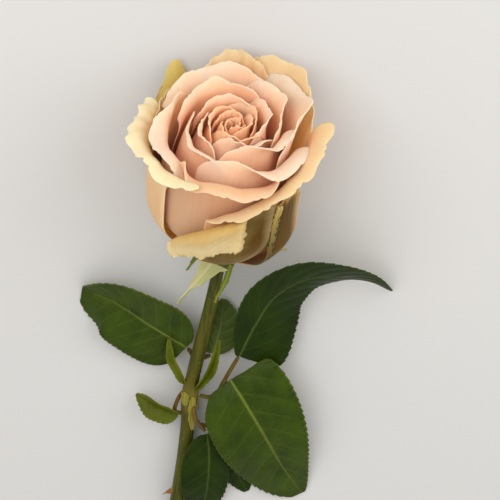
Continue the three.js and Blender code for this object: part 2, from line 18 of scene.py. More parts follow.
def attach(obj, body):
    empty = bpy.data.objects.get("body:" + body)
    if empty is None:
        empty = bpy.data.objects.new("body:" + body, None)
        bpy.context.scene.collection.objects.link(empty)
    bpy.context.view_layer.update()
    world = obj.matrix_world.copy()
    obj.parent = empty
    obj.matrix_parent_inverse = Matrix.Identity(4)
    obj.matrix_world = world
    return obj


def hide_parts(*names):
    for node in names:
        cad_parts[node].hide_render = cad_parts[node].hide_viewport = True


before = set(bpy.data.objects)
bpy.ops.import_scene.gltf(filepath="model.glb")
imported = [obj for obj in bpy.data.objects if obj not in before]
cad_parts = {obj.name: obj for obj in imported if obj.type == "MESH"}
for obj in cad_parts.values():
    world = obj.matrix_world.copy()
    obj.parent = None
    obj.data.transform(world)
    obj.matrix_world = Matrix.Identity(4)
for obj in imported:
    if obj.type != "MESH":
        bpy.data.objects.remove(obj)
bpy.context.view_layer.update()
MM = 0.001
print("CAD nodes:", len(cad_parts))

# %% [markdown]
# ## The camera
# The photograph looks along the stem from the cut end, high above it, so the camera looks down
# at a slant and is turned a little. It stands far off, because petals at the back of the bloom
# look as large as those in front. The picture is 500 pixels wide, and at the depth of the hip,
# where bloom and stem meet, one pixel covers 0.405 mm. That sets the lens.

# %% Camera
HIP = np.array([-9.2, 123.8, 19.0])
VIEW_YAW = math.radians(9)
VIEW_TILT = math.radians(25)
CAMERA_DISTANCE = 700
PICTURE_PIXELS = 500
PIXEL_MM = 0.405
SENSOR_MM = 36
NEAREST_DRAWN = 10
# How far the middle of the picture lies right of the hip, and above it, in pixels
PICTURE_MIDDLE = (26, -2)


def new_object(name, data):
    thing = bpy.data.objects.new(name, data)
    bpy.context.scene.collection.objects.link(thing)
    return thing


view_right = Vector((math.cos(VIEW_YAW), math.sin(VIEW_YAW), 0))
view_ahead = Vector((-math.sin(VIEW_YAW), math.cos(VIEW_YAW), 0))
view_up = view_ahead * math.cos(VIEW_TILT) - Vector((0, 0, 1)) * math.sin(VIEW_TILT)
view_back = view_ahead * math.sin(VIEW_TILT) + Vector((0, 0, 1)) * math.cos(VIEW_TILT)
target = Vector(HIP) + (view_right * PICTURE_MIDDLE[0] + view_up * PICTURE_MIDDLE[1]) * PIXEL_MM

camera_data = bpy.data.cameras.new("camera")
camera_data.lens = SENSOR_MM * CAMERA_DISTANCE / (PICTURE_PIXELS * PIXEL_MM)
camera_data.clip_start = NEAREST_DRAWN * MM
camera = new_object("camera", camera_data)
camera_turn = Matrix((view_right, view_up, view_back)).transposed().to_4x4()
camera.matrix_world = Matrix.Translation((target + view_back * CAMERA_DISTANCE) * MM) @ camera_turn
bpy.context.scene.camera = camera
print("lens", round(camera_data.lens, 1), "mm")

# %% [markdown]
# ## Small tools
# A petal or a leaf is a sheet, so each is a grid of faces whose points are moved by a formula of
# two numbers: u runs from -1 to 1 across it, and v from 0 at its foot to 1 at its end. Modelling
# by formula keeps the sheet smooth at any fineness, and lets neighbours differ by a few numbers.
# numpy works out all points of a grid at once.

# %% Curves and blends
UP = np.array([0.0, 0.0, 1.0])


def clamp(x):
    """x, kept between 0 and 1."""
    return np.clip(x, 0, 1)


def smooth(x):
    """0 below 0, 1 above 1, and an S-shaped rise between."""
    x = clamp(x)
    return x * x * (3 - 2 * x)


def bell(x, reach):
    """1 where x is 0, falling to about a third at the reach and soon to 0."""
    return np.exp(-((x / reach) ** 2))


def above_floor(points, lowest=0):
    points[:, 2] = np.maximum(points[:, 2], lowest)
    return points


def share(x, span):
    """The same rise, from the start of a span to its end."""
    return smooth((x - span[0]) / (span[1] - span[0]))


def unit(vectors):
    return vectors / np.linalg.norm(vectors, axis=-1, keepdims=True)


def from_hip(points):
    """Points given from the foot of the hip: x and y from the hip's middle, z from the surface."""
    return np.array(points, dtype=float) + np.array([HIP[0], HIP[1], 0.0])


def route_through(points, samples=80, stations=401):
    """Places and directions, evenly spaced, on a centripetal spline through some points."""
    points = np.array(points, dtype=float)
    ends = np.vstack([2 * points[0] - points[1], points, 2 * points[-1] - points[-2]])
    t = np.linspace(0, 1, samples, endpoint=False)[:, None]
    pieces = []
    for p0, p1, p2, p3 in zip(ends, ends[1:], ends[2:], ends[3:]):
        g0, g1, g2 = (np.linalg.norm(b - a) ** 0.5 for a, b in ((p0, p1), (p1, p2), (p2, p3)))
        out = ((p1 - p0) / g0 - (p2 - p0) / (g0 + g1) + (p2 - p1) / g1) * g1
        into = ((p2 - p1) / g1 - (p3 - p1) / (g1 + g2) + (p3 - p2) / g2) * g1
        square = -3 * p1 + 3 * p2 - 2 * out - into
        cube = 2 * p1 - 2 * p2 + out + into
        pieces.append(p1 + out * t + square * t**2 + cube * t**3)
    line = np.vstack(pieces + [points[-1:]])
    lengths = np.concatenate([[0], np.cumsum(np.linalg.norm(np.diff(line, axis=0), axis=1))])
    even = np.linspace(0, lengths[-1], stations)
    places = np.stack([np.interp(even, lengths, line[:, k]) for k in range(3)], axis=1)
    return {"places": places, "ahead": unit(np.gradient(places, axis=0)), "length": lengths[-1]}


def at(route, s):
    """Place and direction on a route, at fractions s of its length."""
    spots = np.linspace(0, 1, len(route["places"]))
    place, ahead = (
        np.stack([np.interp(s, spots, route[key][:, k]) for k in range(3)], axis=-1)
        for key in ("places", "ahead")
    )
    return place, unit(ahead)


print("straight test route:", route_through([(0, 0, 0), (0, 5, 0), (0, 10, 0)])["length"], "mm")

# %% [markdown]
# ## From a formula to a piece
# bmesh makes the flat grid, and the formula moves its points. Solidify then gives the sheet its
# thickness, half to each side, and puts a second finish on the lower side, because a petal's two
# sides differ. Values that a finish needs, such as the distance to the margin, are kept on the
# points as attributes. One that a formula doesn't give stays 0.

# %% Sheets
POINT_VALUES = ("margin", "vein", "tint")


def new_mesh():
    """An empty bmesh with the attributes that the finishes read."""
    bm = bmesh.new()
    bm.loops.layers.uv.new("UVMap")
    for name in POINT_VALUES:
        bm.verts.layers.float.new(name)
    return bm


def place_points(bm, vertices, points, values):
    """Moves vertices to places in mm and keeps their values, by the attribute's name."""
    layers = {name: bm.verts.layers.float[name] for name in values}
    for i, vertex in enumerate(vertices):
        vertex.co = points[i] * MM
        for name, layer in layers.items():
            vertex[layer] = values[name][i]


def add_sheet(bm, surface, cells):
    """Adds one grid to a bmesh and moves its points by a formula of u and v."""
    across, along = cells
    made = bmesh.ops.create_grid(bm, x_segments=across, y_segments=along, size=1.0, calc_uvs=True)
    spots = np.array([vertex.co[:2] for vertex in made["verts"]])
    place_points(bm, made["verts"], *surface(spots[:, 0], (spots[:, 1] + 1) / 2))


def new_piece(name, bm, materials, nodes=()):
    """Makes a bmesh an object that rides on the rose and stands for some CAD nodes."""
    mesh = bpy.data.meshes.new(name)
    bm.to_mesh(mesh)
    bm.free()
    for polygon in mesh.polygons:
        polygon.use_smooth = True
    for material in materials:
        mesh.materials.append(material)
    piece = new_object(name, mesh)
    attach(piece, "root")
    if nodes:
        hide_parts(*nodes)
    return piece


def thicken(piece, thickness):
    """Gives a sheet its thickness, with the next finish on its lower side."""
    solidify = piece.modifiers.new("thickness", "SOLIDIFY")
    solidify.thickness = thickness * MM
    solidify.offset = 0
    solidify.material_offset = 1


print("values on the points:", ", ".join(POINT_VALUES))

# %% [markdown]
# ## Finishes
# Petals, leaves and stem are living tissue: matt to satin, never metallic, with light going a
# little way in. Each finish is a Principled shader with colour, roughness and relief from nodes.
# Colours are written as on a screen and turned to the linear values that Blender works with.

# %% Tools for finishes
# Red light goes furthest into living tissue, then green, then blue
LIGHT_REACH = (1.0, 0.6, 0.35)
RELIEF_DEPTH = 0.2


def linear(code):
    """Linear red, green, blue and alpha from an sRGB hex colour."""
    parts = [int(code[i:i + 2], 16) / 255 for i in (1, 3, 5)]
    return tuple(c / 12.92 if c <= 0.04045 else ((c + 0.055) / 1.055) ** 2.4 for c in parts) + (1.0,)


def set_inputs(tree, node, inputs):
    """Sets sockets of a node to values, or links them to other sockets or to a node's first output."""
    for name, value in inputs.items():
        if isinstance(value, bpy.types.Node):
            value = value.outputs[0]
        if isinstance(value, bpy.types.NodeSocket):
            tree.links.new(value, node.inputs[name])
        else:
            node.inputs[name].default_value = value


def add(tree, kind, inputs=None, **settings):
    """Adds a shader node. Settings are its own properties, and inputs go to its sockets."""
    node = tree.nodes.new("ShaderNode" + kind)
    for name, value in settings.items():
        setattr(node, name, value)
    set_inputs(tree, node, inputs or {})
    return node


def set_ramp(node, stops):
    """Puts [place, hex colour] stops on a colour ramp."""
    elements = node.color_ramp.elements
    while len(elements) < len(stops):
        elements.new(0.5)
    for element, (spot, code) in zip(elements, stops):
        element.position = spot
        element.color = linear(code)
    return node


def painted(tree, colour, code, value, span, shares, **settings):
    """Mixes in a hex colour, by one share where a value starts a span and by another at its end."""
    weight = add(tree, "MapRange", dict(enumerate((value, *span, *shares))))
    return add(tree, "MixRGB", {0: weight, 1: colour, 2: linear(code)}, **settings)


def rimmed(tree, colour, code, reach, most):
    """Mixes in a hex colour at the margin, and less of it up to a reach in mm."""
    rim = add(tree, "Attribute", attribute_name="margin")
    return painted(tree, colour, code, rim.outputs["Fac"], (0.0, reach), (most, 0.0))


def marked(tree, colour, code, attribute):
    """Mixes in a hex colour by an attribute of the points."""
    mark = add(tree, "Attribute", attribute_name=attribute)
    return add(tree, "MixRGB", {0: mark.outputs["Fac"], 1: colour, 2: linear(code)})


def new_material(name, roughness, specular, scatter=0.0, depth=1.0, sheen=0.0):
    """A Principled material. scatter is the share of light that goes in, depth how far in mm."""
    material = bpy.data.materials.new(name)
    material.use_nodes = True
    shader = material.node_tree.nodes["Principled BSDF"]
    set_inputs(material.node_tree, shader, {
        "Roughness": roughness, "Specular IOR Level": specular, "Subsurface Weight": scatter,
        "Subsurface Scale": depth * MM, "Subsurface Radius": LIGHT_REACH, "Sheen Weight": sheen,
    })
    return material, material.node_tree, shader


def cover(tree, shader, colour, height, strength):
    """Links a colour and a relief to a shader."""
    inputs = {"Height": height, "Strength": strength, "Distance": RELIEF_DEPTH * MM}
    set_inputs(tree, shader, {"Base Color": colour, "Normal": add(tree, "Bump", inputs)})


print("middle grey is", round(linear("#808080")[0], 3), "in linear light")

# %% [markdown]
# ### Petals
# A rose petal has velvety cells that scatter light, so it is matt, with a soft sheen and a glow
# where it is thin. Fine veins fan out from its foot, about one each millimetre. Its colour runs
# from deep peach at the foot to cream at the margin, and the side that faced out of the bud is
# duller. The ramp follows v, the veins are noise stretched along v, and blotches follow the place.

# %% Petal finish
# Cells of noise across a petal, some 60 mm wide, and along it: a vein about each millimetre
VEIN_CELLS = (58, 2.2, 1)
VEIN_SHADE = "#d8a884"
# Cells in a metre: blotches of about 22 mm, and a ramp that drifts up and down over about 17 mm
BLOTCH_CELLS = 45.0
DRIFT_CELLS = 60.0
DRIFT = 0.16
STAIN_BROWN = "#6b3d12"
# A tough guard petal turns peach again towards the side that a neighbour covered in the bud
COVERED_PEACH = "#c39a62"


def petal_material(name, stops, margin, blotch, blotch_share, specular):
    material, tree, shader = new_material(name, 0.58, specular, scatter=0.6, depth=3.0, sheen=0.04)
    spot = add(tree, "TexCoord").outputs
    fan = add(tree, "Mapping", {"Vector": spot["UV"], "Scale": VEIN_CELLS})
    veins = add(tree, "TexNoise", {"Vector": fan, "Scale": 1.0, "Detail": 3.0})
    along = add(tree, "SeparateXYZ", {"Vector": spot["UV"]})
    drift = add(tree, "TexNoise", {"Vector": spot["Object"], "Scale": DRIFT_CELLS, "Detail": 2.0})
    shift = add(tree, "Math", {0: drift, 1: DRIFT, 2: -DRIFT / 2}, operation="MULTIPLY_ADD")
    place = add(tree, "Math", {0: along.outputs["Y"], 1: shift}, operation="ADD")
    colour = set_ramp(add(tree, "ValToRGB", {"Fac": place}), stops)
    patches = add(tree, "TexNoise", {"Vector": spot["Object"], "Scale": BLOTCH_CELLS, "Detail": 3.0})
    colour = painted(tree, colour, blotch, patches, (0.48, 0.72), (0.0, blotch_share))
    colour = painted(tree, colour, VEIN_SHADE, veins, (0.35, 0.7), (0.1, 0.0), blend_type="MULTIPLY")
    colour = rimmed(tree, colour, margin, 2.4, 0.4)
    colour = marked(tree, colour, STAIN_BROWN, "tint")
    colour = marked(tree, colour, COVERED_PEACH, "vein")
    cover(tree, shader, colour, veins, 0.2)
    return material


# Four colours from a petal's foot to its margin: the places of the middle two, then all four. The
# face is the side towards the heart.
FACE_COLOURS = {
    "green": (0.6, 0.85, "#8f7a34 #b3a04e #c4ae64 #c2b06a"),
    "blush": (0.55, 0.86, "#d9966c #e4aa86 #e2ae8a #e4b896"),
    "guard": (0.6, 0.8, "#5f4a14 #caa05c #f0c896 #ebc58e"),
    "tough": (0.6, 0.85, "#5f4a14 #8f7436 #b8954e #c8a868"),
    "outer": (0.55, 0.8, "#dda472 #e6ae88 #e3b892 #dbba90"),
    "cream": (0.55, 0.8, "#dda472 #e8b48e #f3d1aa #eed7b0"),
    "mid": (0.55, 0.86, "#f2aa80 #fcc6a6 #f9cbae #f5cfb2"),
    "inner": (0.55, 0.88, "#ee9c72 #fbb896 #fac6a8 #f9ceb2"),
    "heart": (0.55, 0.9, "#f29a6a #ffb68e #ffc09c #fdc6a2"),
}
BACK_COLOURS = {
    "green": (0.35, 0.75, "#7a6a2a #b8965c #c9a868 #b9a458"),
    "blush": (0.3, 0.75, "#bda25e #dca680 #dea886 #ebc2a2"),
    "guard": (0.3, 0.75, "#8a6a3c #5c4108 #4a3402 #7d6028"),
    "tough": (0.3, 0.75, "#8a6a3c #5c4108 #4a3402 #7d6028"),
    "outer": (0.3, 0.75, "#b09650 #e0ae7e #f0b68a #e6c096"),
    "cream": (0.3, 0.75, "#b09650 #e0ae7e #f2b88a #eac496"),
    "mid": (0.55, 0.86, "#e6a87c #f8c2a0 #f8ccb0 #f7d2b6"),
    "inner": (0.55, 0.88, "#e69e72 #f8b490 #f9c2a2 #f9ceb2"),
    "heart": (0.55, 0.9, "#e08858 #f4a278 #f8b68c #f9be96"),
}
# Colour of the margin, colour of the soft blotches, and their share
MARGIN_AND_BLOTCH = {
    "green": ("#cdb070", "#94984a", 0.35),
    "blush": ("#eec6a6", "#deac84", 0.25),
    "guard": ("#e6ca94", "#c4b068", 0.25),
    "tough": ("#cdb070", "#a89a50", 0.25),
    "outer": ("#e4c9a2", "#ddc98c", 0.3),
    "cream": ("#f2e0bc", "#e6dca6", 0.3),
    "mid": ("#f8d8c0", "#f2bc9a", 0.25),
    "inner": ("#f9d2b8", "#f2ae88", 0.25),
    "heart": ("#f9c39c", "#f2a47c", 0.25),
}
# Specular level of a soft petal, and of a tough guard petal, which is duller
PETAL_SHINE = (0.2, 0.06)
petal_finishes = {}
for kind, extras in MARGIN_AND_BLOTCH.items():
    shine = PETAL_SHINE[kind in ("guard", "tough")]
    petal_finishes[kind] = []
    for side, colours in (("back", BACK_COLOURS), ("face", FACE_COLOURS)):
        low, high, codes = colours[kind]
        stops = zip((0, low, high, 1), codes.split())
        petal_finishes[kind].append(petal_material(f"petal_{kind}_{side}", list(stops), *extras, shine))
print("petal finishes:", ", ".join(petal_finishes))

# %% [markdown]
# ## The petals
# The bloom has its own frame: its axis leans up from the surface, and its front is the side
# turned up to the viewer. A petal starts as the side of a cup: a wall that bellies out above the
# hip and flares to its margin. Near the margin the wall rolls outwards. The formula walks up the
# wall in short steps and turns a little more at each, which rolls the sheet without stretching it.

# %% Bloom frame
BLOOM_YAW = math.radians(6.3)
BLOOM_RISE = math.radians(18)
BLOOM_HEIGHT = 66
# The rim is lower in front and higher behind by this share of its radius, and opens wider behind
BLOOM_LEAN = 0.11
BLOOM_OPEN = 0.13
# The middle of the bloom sways to the left and its top to the right, in mm
BLOOM_SWAY = 3
BLOOM_SHIFT = 2

bloom_axis = np.array([
    -math.sin(BLOOM_YAW) * math.cos(BLOOM_RISE),
    math.cos(BLOOM_YAW) * math.cos(BLOOM_RISE),
    math.sin(BLOOM_RISE),
])
to_viewer = np.array(view_back)
bloom_back = -unit(to_viewer - bloom_axis * to_viewer.dot(bloom_axis))
bloom_right = np.cross(bloom_back, bloom_axis)


def in_bloom(across, back, height):
    """Row-frame points from places in the bloom's own frame."""
    aside = across[:, None] * bloom_right + back[:, None] * bloom_back
    return HIP + aside + height[:, None] * bloom_axis


def sway_at(height):
    lift = clamp(height / BLOOM_HEIGHT)
    return BLOOM_SWAY * np.sin(math.pi * lift) - BLOOM_SHIFT * lift**2


print("bloom axis", [round(float(c), 3) for c in bloom_axis])

# %% Numbers of a petal
# turn and half: where a petal stands round the bloom, and half its width, in degrees. foot to top:
# radii and heights of its wall. roll and the like: how its margin rolls back. drop to corner: the
# outline of its end. wave to nick_span: ripples and dips of its margin. shoulder to fade: how a
# guard petal is torn, wrinkled and coloured.
PETAL = {
    "turn": 0, "half": 50, "foot": 6, "rise": 0, "belly": 30, "belly_height": 30, "rim": 32, "top": 66,
    "power": 2.2, "roll": 90, "roll_width": 13, "width_slant": 0, "roll_end": 1, "roll_fade": 0.1,
    "roll_left": (-3, -2), "roll_right": (2, 3), "drop": 0.14, "square": 2.6, "slant": 0, "tuck": 0,
    "tip": 0.02, "tip_width": 0.16, "peak": 0, "claw": 0.3, "taper": 0.08, "fan": 0, "spiral": 0,
    "corner": 0, "wave": 0.5, "waves": 1.6, "phase": 0, "frill": 0.32, "nicks": 0.8,
    "nick_span": (-3, -2), "shoulder": 0, "cut": 0, "nose": 0, "ragged": (0, 0), "round_right": 0,
    "crease": 0, "stain": 0, "fade": 0,
}
PETAL_SHEET = 0.42
print("numbers that shape a petal:", len(PETAL), "and its sheet is", PETAL_SHEET, "mm thick")

# %% Wall and margin of a petal
COLUMN_STEPS = 60
WALL_STEPS = 90
# A wall's stations lie closer at its foot, and its belly rounds off below
FOOT_CROWDING = 1.4
BELLY_CURVE = 1.7
# Depth of a petal's fine dips and of its broad ones, as shares of its length
FINE_NICK = 0.012
BROAD_NICK = 0.006
# Across a petal: where its tucked side falls below its neighbour's rim, and where the covered side
# of a guard petal fades to peach
TUCK_SPAN = (0.3, 1.0)
FADE_SPAN = (0.35, 1.0)
# Up a petal: where its right side fans out, where the wall's right shoulder ends, where its left
# side is torn away, and where its sides get ragged
FAN_SPAN = (0.72, 1.0)
SHOULDER_SPAN = (0.68, 0.79)
CUT_SPAN = (0.0, 0.9)
RAGGED_SPAN = (0.4, 0.6)
# Up a petal: how far up its blunt nose is narrowest, and how soon it widens from there
NOSE_WAIST = 0.94
NOSE_REACH = 0.06
# Up a petal: where wrinkles start and where they end. Across it: their middle and their reach
CREASE_START = (0.74, 0.82)
CREASE_END = (0.95, 1)
CREASE_MIDDLE = 0.5
CREASE_REACH = 0.42
STAIN_REACH = 1.8


def wall_radius(petal, height):
    lift = (height - petal.rise) / (petal.belly_height - petal.rise)
    below = 1 - clamp(1 - lift) ** BELLY_CURVE
    low = petal.foot + (petal.belly - petal.foot) * below
    flare = clamp((height - petal.belly_height) / (petal.top - petal.belly_height))
    high = petal.belly + (petal.rim - petal.belly) * flare ** petal.power
    return np.where(height < petal.belly_height, low, high)


def wall_slopes(petal):
    """Lengths up the wall, and its slope at each, and its whole length."""
    shares = np.linspace(0, 1, WALL_STEPS + 1) ** FOOT_CROWDING
    heights = petal.rise + (petal.top - petal.rise) * shares
    radii = wall_radius(petal, heights)
    across, up = np.diff(radii), np.diff(heights)
    steps = np.hypot(across, up)
    ends = np.cumsum(steps)
    return ends - steps / 2, np.arctan2(across, up), ends[-1]


def nicked(petal, u):
    """Small dips of a petal's margin, as a share of its length."""
    phase = petal.phase * 3.7 + petal.turn
    fine = np.sin(23 * u + phase) * np.sin(37 * u + 1.7 * phase)
    broad = np.sin(7.3 * u + 0.6 * phase)
    deep = petal.nicks * (0.4 + 0.6 * share(u, petal.nick_span))
    return deep * (BROAD_NICK * broad - FINE_NICK * clamp(fine - 0.25))


def side_turns(petal, u, v):
    """Degrees by which the side margins turn: a shoulder, a tear, a blunt nose and ragged edges."""
    left, right = clamp(-u), clamp(u)
    shoulder = petal.shoulder * (1 - share(v, SHOULDER_SPAN)) * right**2
    cut = petal.cut * share(v, CUT_SPAN) ** 0.6 * left**2
    waist = np.clip((v - NOSE_WAIST) / NOSE_REACH, -0.8, 1) ** 2
    nose = petal.nose * (0.3 + 0.7 * waist) * left**3
    jag = 0.5 + 0.45 * np.sin(29 * v + petal.phase) * np.sin(53 * v + 1) + 0.25 * np.sin(131 * v)
    jag = jag * share(v, RAGGED_SPAN)
    ragged = petal.ragged[0] * left**5 - petal.ragged[1] * right**5
    return shoulder + cut + nose + ragged * jag


def creases(petal, u, v):
    """Slanting wrinkles where a petal has rolled down on itself, in mm."""
    place = share(v, CREASE_START) * (1 - share(v, CREASE_END)) * bell(u - CREASE_MIDDLE, CREASE_REACH)
    bent = 120 * v + 9 * u + 9 * u**2
    return petal.crease * place * (np.sin(bent) + 0.6 * np.sin(1.6 * bent + 5 * u + 1))


print("wall of a plain petal:", round(wall_slopes(SimpleNamespace(**PETAL))[2], 1), "mm")

# %% Petal surface
def petal_surface(petal):
    """The middle surface of a petal, as a function of u and v. Its vein value is the fade to peach."""
    petal = SimpleNamespace(**{**PETAL, **petal})
    lengths, slopes, whole = wall_slopes(petal)

    def surface(u, v):
        crown = petal.tip * bell(u - petal.peak, petal.tip_width)
        fall = petal.drop * np.abs(u) ** petal.square + petal.tuck * share(-u, TUCK_SPAN)
        corner = petal.corner * np.abs(u) ** 5
        rounded = petal.round_right * clamp(u) ** 4
        smooth_length = whole * (1 - fall + petal.slant * u + crown) - corner - rounded
        length = smooth_length * (1 + nicked(petal, u))
        free = share(u, petal.roll_left) * (1 - share(u, petal.roll_right))
        roll = math.radians(petal.roll) * (1 - petal.roll_fade * np.abs(u) ** 3) * free
        roll_width = petal.roll_width * (1 + petal.width_slant * u) - corner
        steps = np.arange(COLUMN_STEPS)
        along = length[:, None] * (steps + 0.5) / COLUMN_STEPS
        curl = np.clip(1 - (smooth_length[:, None] - along) / roll_width[:, None], 0, None)
        turned = smooth(curl / petal.roll_end) if petal.roll_end < 1 else curl**1.5
        angle = np.interp(along, lengths, slopes) + roll[:, None] * turned
        walked = clamp(v[:, None] * COLUMN_STEPS - steps) * length[:, None] / COLUMN_STEPS
        radius = petal.foot + (np.sin(angle) * walked).sum(axis=1)
        height = petal.rise + (np.cos(angle) * walked).sum(axis=1)

        spread = (petal.claw + (1 - petal.claw) * smooth(v / 0.5)) * (1 - petal.taper * v**4)
        fan = petal.fan * share(v, FAN_SPAN) * clamp(u) ** 2
        turn = np.radians(petal.turn + petal.half * spread * u + fan + side_turns(petal, u, v))
        ripple = petal.wave * v**5
        swing = petal.waves * u * math.pi + petal.phase
        radius = radius + petal.spiral * u * smooth(v / 0.25) + ripple * np.sin(swing)
        height = height + 0.6 * ripple * np.cos(1.7 * petal.waves * u * math.pi + petal.phase)
        frill = petal.frill * v**9
        radius = radius + frill * np.sin(4.3 * swing + 2 * petal.turn) + creases(petal, u, v)
        height = height + frill * np.sin(3.1 * swing + petal.turn)
        radius = radius * (1 + BLOOM_OPEN * (height / BLOOM_HEIGHT) ** 2 * (0.5 - 0.5 * np.cos(turn)))
        height = height - BLOOM_LEAN * radius * np.cos(turn) * height / BLOOM_HEIGHT
        points = in_bloom(radius * np.sin(turn) - sway_at(height), -radius * np.cos(turn), height)

        to_end = (1 - v) * length
        to_side = (1 - np.abs(u)) * np.radians(petal.half) * spread * np.maximum(radius, 1)
        margin = np.minimum(to_end, to_side)
        spots = smooth(np.sin(9 * u + 5 * v + petal.phase) * 2 - 0.6)
        stain = petal.stain * clamp(1 - margin / STAIN_REACH) * spots
        values = {"margin": margin, "tint": stain, "vein": petal.fade * share(u, FADE_SPAN)}
        return above_floor(points, PETAL_SHEET / 2), values

    return surface


def even_rows(surface):
    """Crowds a sheet's rows towards its margin, where it rolls."""
    return lambda u, v: surface(u, 1 - (1 - v) ** 1.5)


middle_end = even_rows(petal_surface({}))(np.zeros(1), np.ones(1))[0][0]
print("end of a plain petal:", middle_end.round(1))

# %% [markdown]
# ### Guard petals and outer petals
# Three guard petals stand outermost. They are tough, greenish outside, and torn at the margin,
# and the front one has rolled down on itself into a scroll. The six cream petals inside them
# carry the wide folded rims that make the outline of the bloom.

# %% Guard and outer petals
GUARD_PETALS = [
    {"turn": -11, "half": 29, "rim": 31, "top": 57.2, "roll": 195, "roll_width": 22, "width_slant": 0.4,
     "roll_end": 0.5, "slant": 0.29, "drop": 0, "corner": 8, "taper": 0, "wave": 0.7, "phase": 1, "tip": 0,
     "nicks": 2, "stain": 0.5, "shoulder": 30, "nose": 7, "ragged": (0, 2.4), "crease": 0.12},
    {"turn": 52, "half": 36, "belly": 30.2, "belly_height": 20, "rim": 30.3, "top": 45, "roll": 4,
     "roll_width": 8, "drop": 0.06, "square": 4, "wave": 0.4, "waves": 2.4, "phase": 0.4, "claw": 0.5,
     "nicks": 3, "stain": 0.8, "cut": 34, "ragged": (4.5, 1.2), "round_right": 11, "fade": 0.85,
     "finish": "tough"},
    {"turn": -141, "half": 31, "rim": 35.5, "top": 58, "roll": 20, "roll_width": 16, "tip": 0.1,
     "tip_width": 0.3, "peak": -0.15, "drop": 0.3, "square": 1.6, "nicks": 0.9, "stain": 0.4,
     "finish": "green"},
]
OUTER_PETALS = [
    {"turn": 44, "half": 56, "rim": 29.6, "top": 62.5, "roll": 112, "roll_width": 12,
     "width_slant": -0.15, "slant": 0.14, "drop": 0.05, "square": 4, "roll_left": (-1.5, -0.6),
     "roll_fade": 0, "phase": 2, "tip": 0, "nicks": 1.4, "frill": 0.4},
    {"turn": -84, "half": 38, "rim": 30.2, "top": 67, "roll": 112, "roll_width": 13, "drop": 0.02,
     "width_slant": 0.3, "slant": 0.05, "waves": 1.7, "phase": 0.6, "tip": 0, "fan": 32,
     "roll_right": (0.78, 1.3), "claw": 0.6, "nicks": 2, "nick_span": (-0.4, 0.3),
     "frill": 0.5, "finish": "cream"},
    {"turn": 140, "half": 46, "rim": 30.9, "top": 68.5, "roll": 40, "roll_width": 12, "drop": 0.17,
     "square": 2, "tip": 0.05, "peak": 0.65, "tip_width": 0.3, "roll_left": (-0.5, 0.1)},
    {"turn": -128, "half": 36, "rim": 29, "top": 60, "roll": 30, "roll_width": 11,
     "roll_right": (-0.1, 0.5)},
    {"turn": -172, "half": 42, "rim": 28.8, "top": 67, "roll": 40, "roll_width": 12, "tip": 0.05,
     "peak": -0.3, "tip_width": 0.35, "waves": 2.2, "phase": 1.3, "roll_left": (-0.45, 0),
     "roll_right": (0, 0.45)},
    {"turn": -4, "half": 56, "rim": 27.2, "top": 68.5, "roll": 120, "roll_width": 15, "drop": 0.11,
     "slant": -0.02, "tuck": 0.06, "phase": 0.8, "roll_left": (-0.7, -0.3), "roll_right": (0.6, 1),
     "finish": "blush"},
]
BIG_CELLS = (92, 68)


def petal_piece(node, kind, petals, cells):
    bm = new_mesh()
    for petal in petals:
        add_sheet(bm, even_rows(petal_surface(petal)), cells)
    thicken(new_piece(f"{node}_sheet", bm, petal_finishes[kind], [node]), PETAL_SHEET)


for i, petal in enumerate(GUARD_PETALS):
    placed = {"belly": 30, "foot": 7.6, "rise": -1.2, **petal}
    petal_piece(f"petal_guard_{i + 1}", petal.get("finish", "guard"), [placed], BIG_CELLS)
for i, petal in enumerate(OUTER_PETALS):
    # Each pair of outer petals grows a little higher on the hip, inside the pair before it
    pair = i // 2
    placed = {"belly": 28.6 - 1.4 * pair, "foot": 7 - 0.65 * pair, "rise": 0.2 + 1.4 * pair, **petal}
    petal_piece(f"petal_outer_{i + 1}", petal.get("finish", "outer"), [placed], BIG_CELLS)
print("guard petals:", len(GUARD_PETALS), "outer petals:", len(OUTER_PETALS))

# %% [markdown]
# ### Rings of inner petals
# Inside, the petals stand in rings, each with one side tucked under its neighbour, so the rings
# wind into a spiral. Within a ring the petals are alike, with small differences that come from
# each petal's number, so that they are the same at each run.

# %% Inner petals
RING = {
    "roll_left": (-0.45, 0.2), "square": 7, "drop": 0.1, "taper": 0, "claw": 0.4, "spiral": 1.1,
    "wave": 0.2, "frill": 0.15, "tuck": 0.03,
}
# Factors that spread the petals' numbers out, once for differences sideways and once for upward
SIDEWAYS_MIX = (43758.5453, 12.9898, 78.233)
UPWARD_MIX = (24634.6345, 39.425, 11.135)
# By how many mm the petals of a ring differ in the radius of their rims and in height
RIM_SPREAD = 0.8
TOP_SPREAD = 2.5


def spread(mix, number, belly):
    """A value from -0.5 to 0.5 that jumps about with a petal's number and its ring."""
    value = mix[0] * math.sin(mix[1] * number + mix[2] * belly)
    return value - math.floor(value) - 0.5


def ring_petals(ring):
    petals = []
    for i, (turn, half, roll) in enumerate(zip(ring["turns"], ring["halves"], ring["rolls"])):
        sideways = spread(SIDEWAYS_MIX, i + 1, ring["belly"])
        upward = spread(UPWARD_MIX, i + 1, ring["belly"])
        petals.append({
            **RING, **ring, "turn": turn, "half": half, "roll": roll,
            "rim": ring["rim"] + RIM_SPREAD * sideways, "top": ring["top"] + TOP_SPREAD * upward,
            "waves": 1.7 + sideways, "phase": 6.28 * (sideways + 0.5),
        })
    return petals


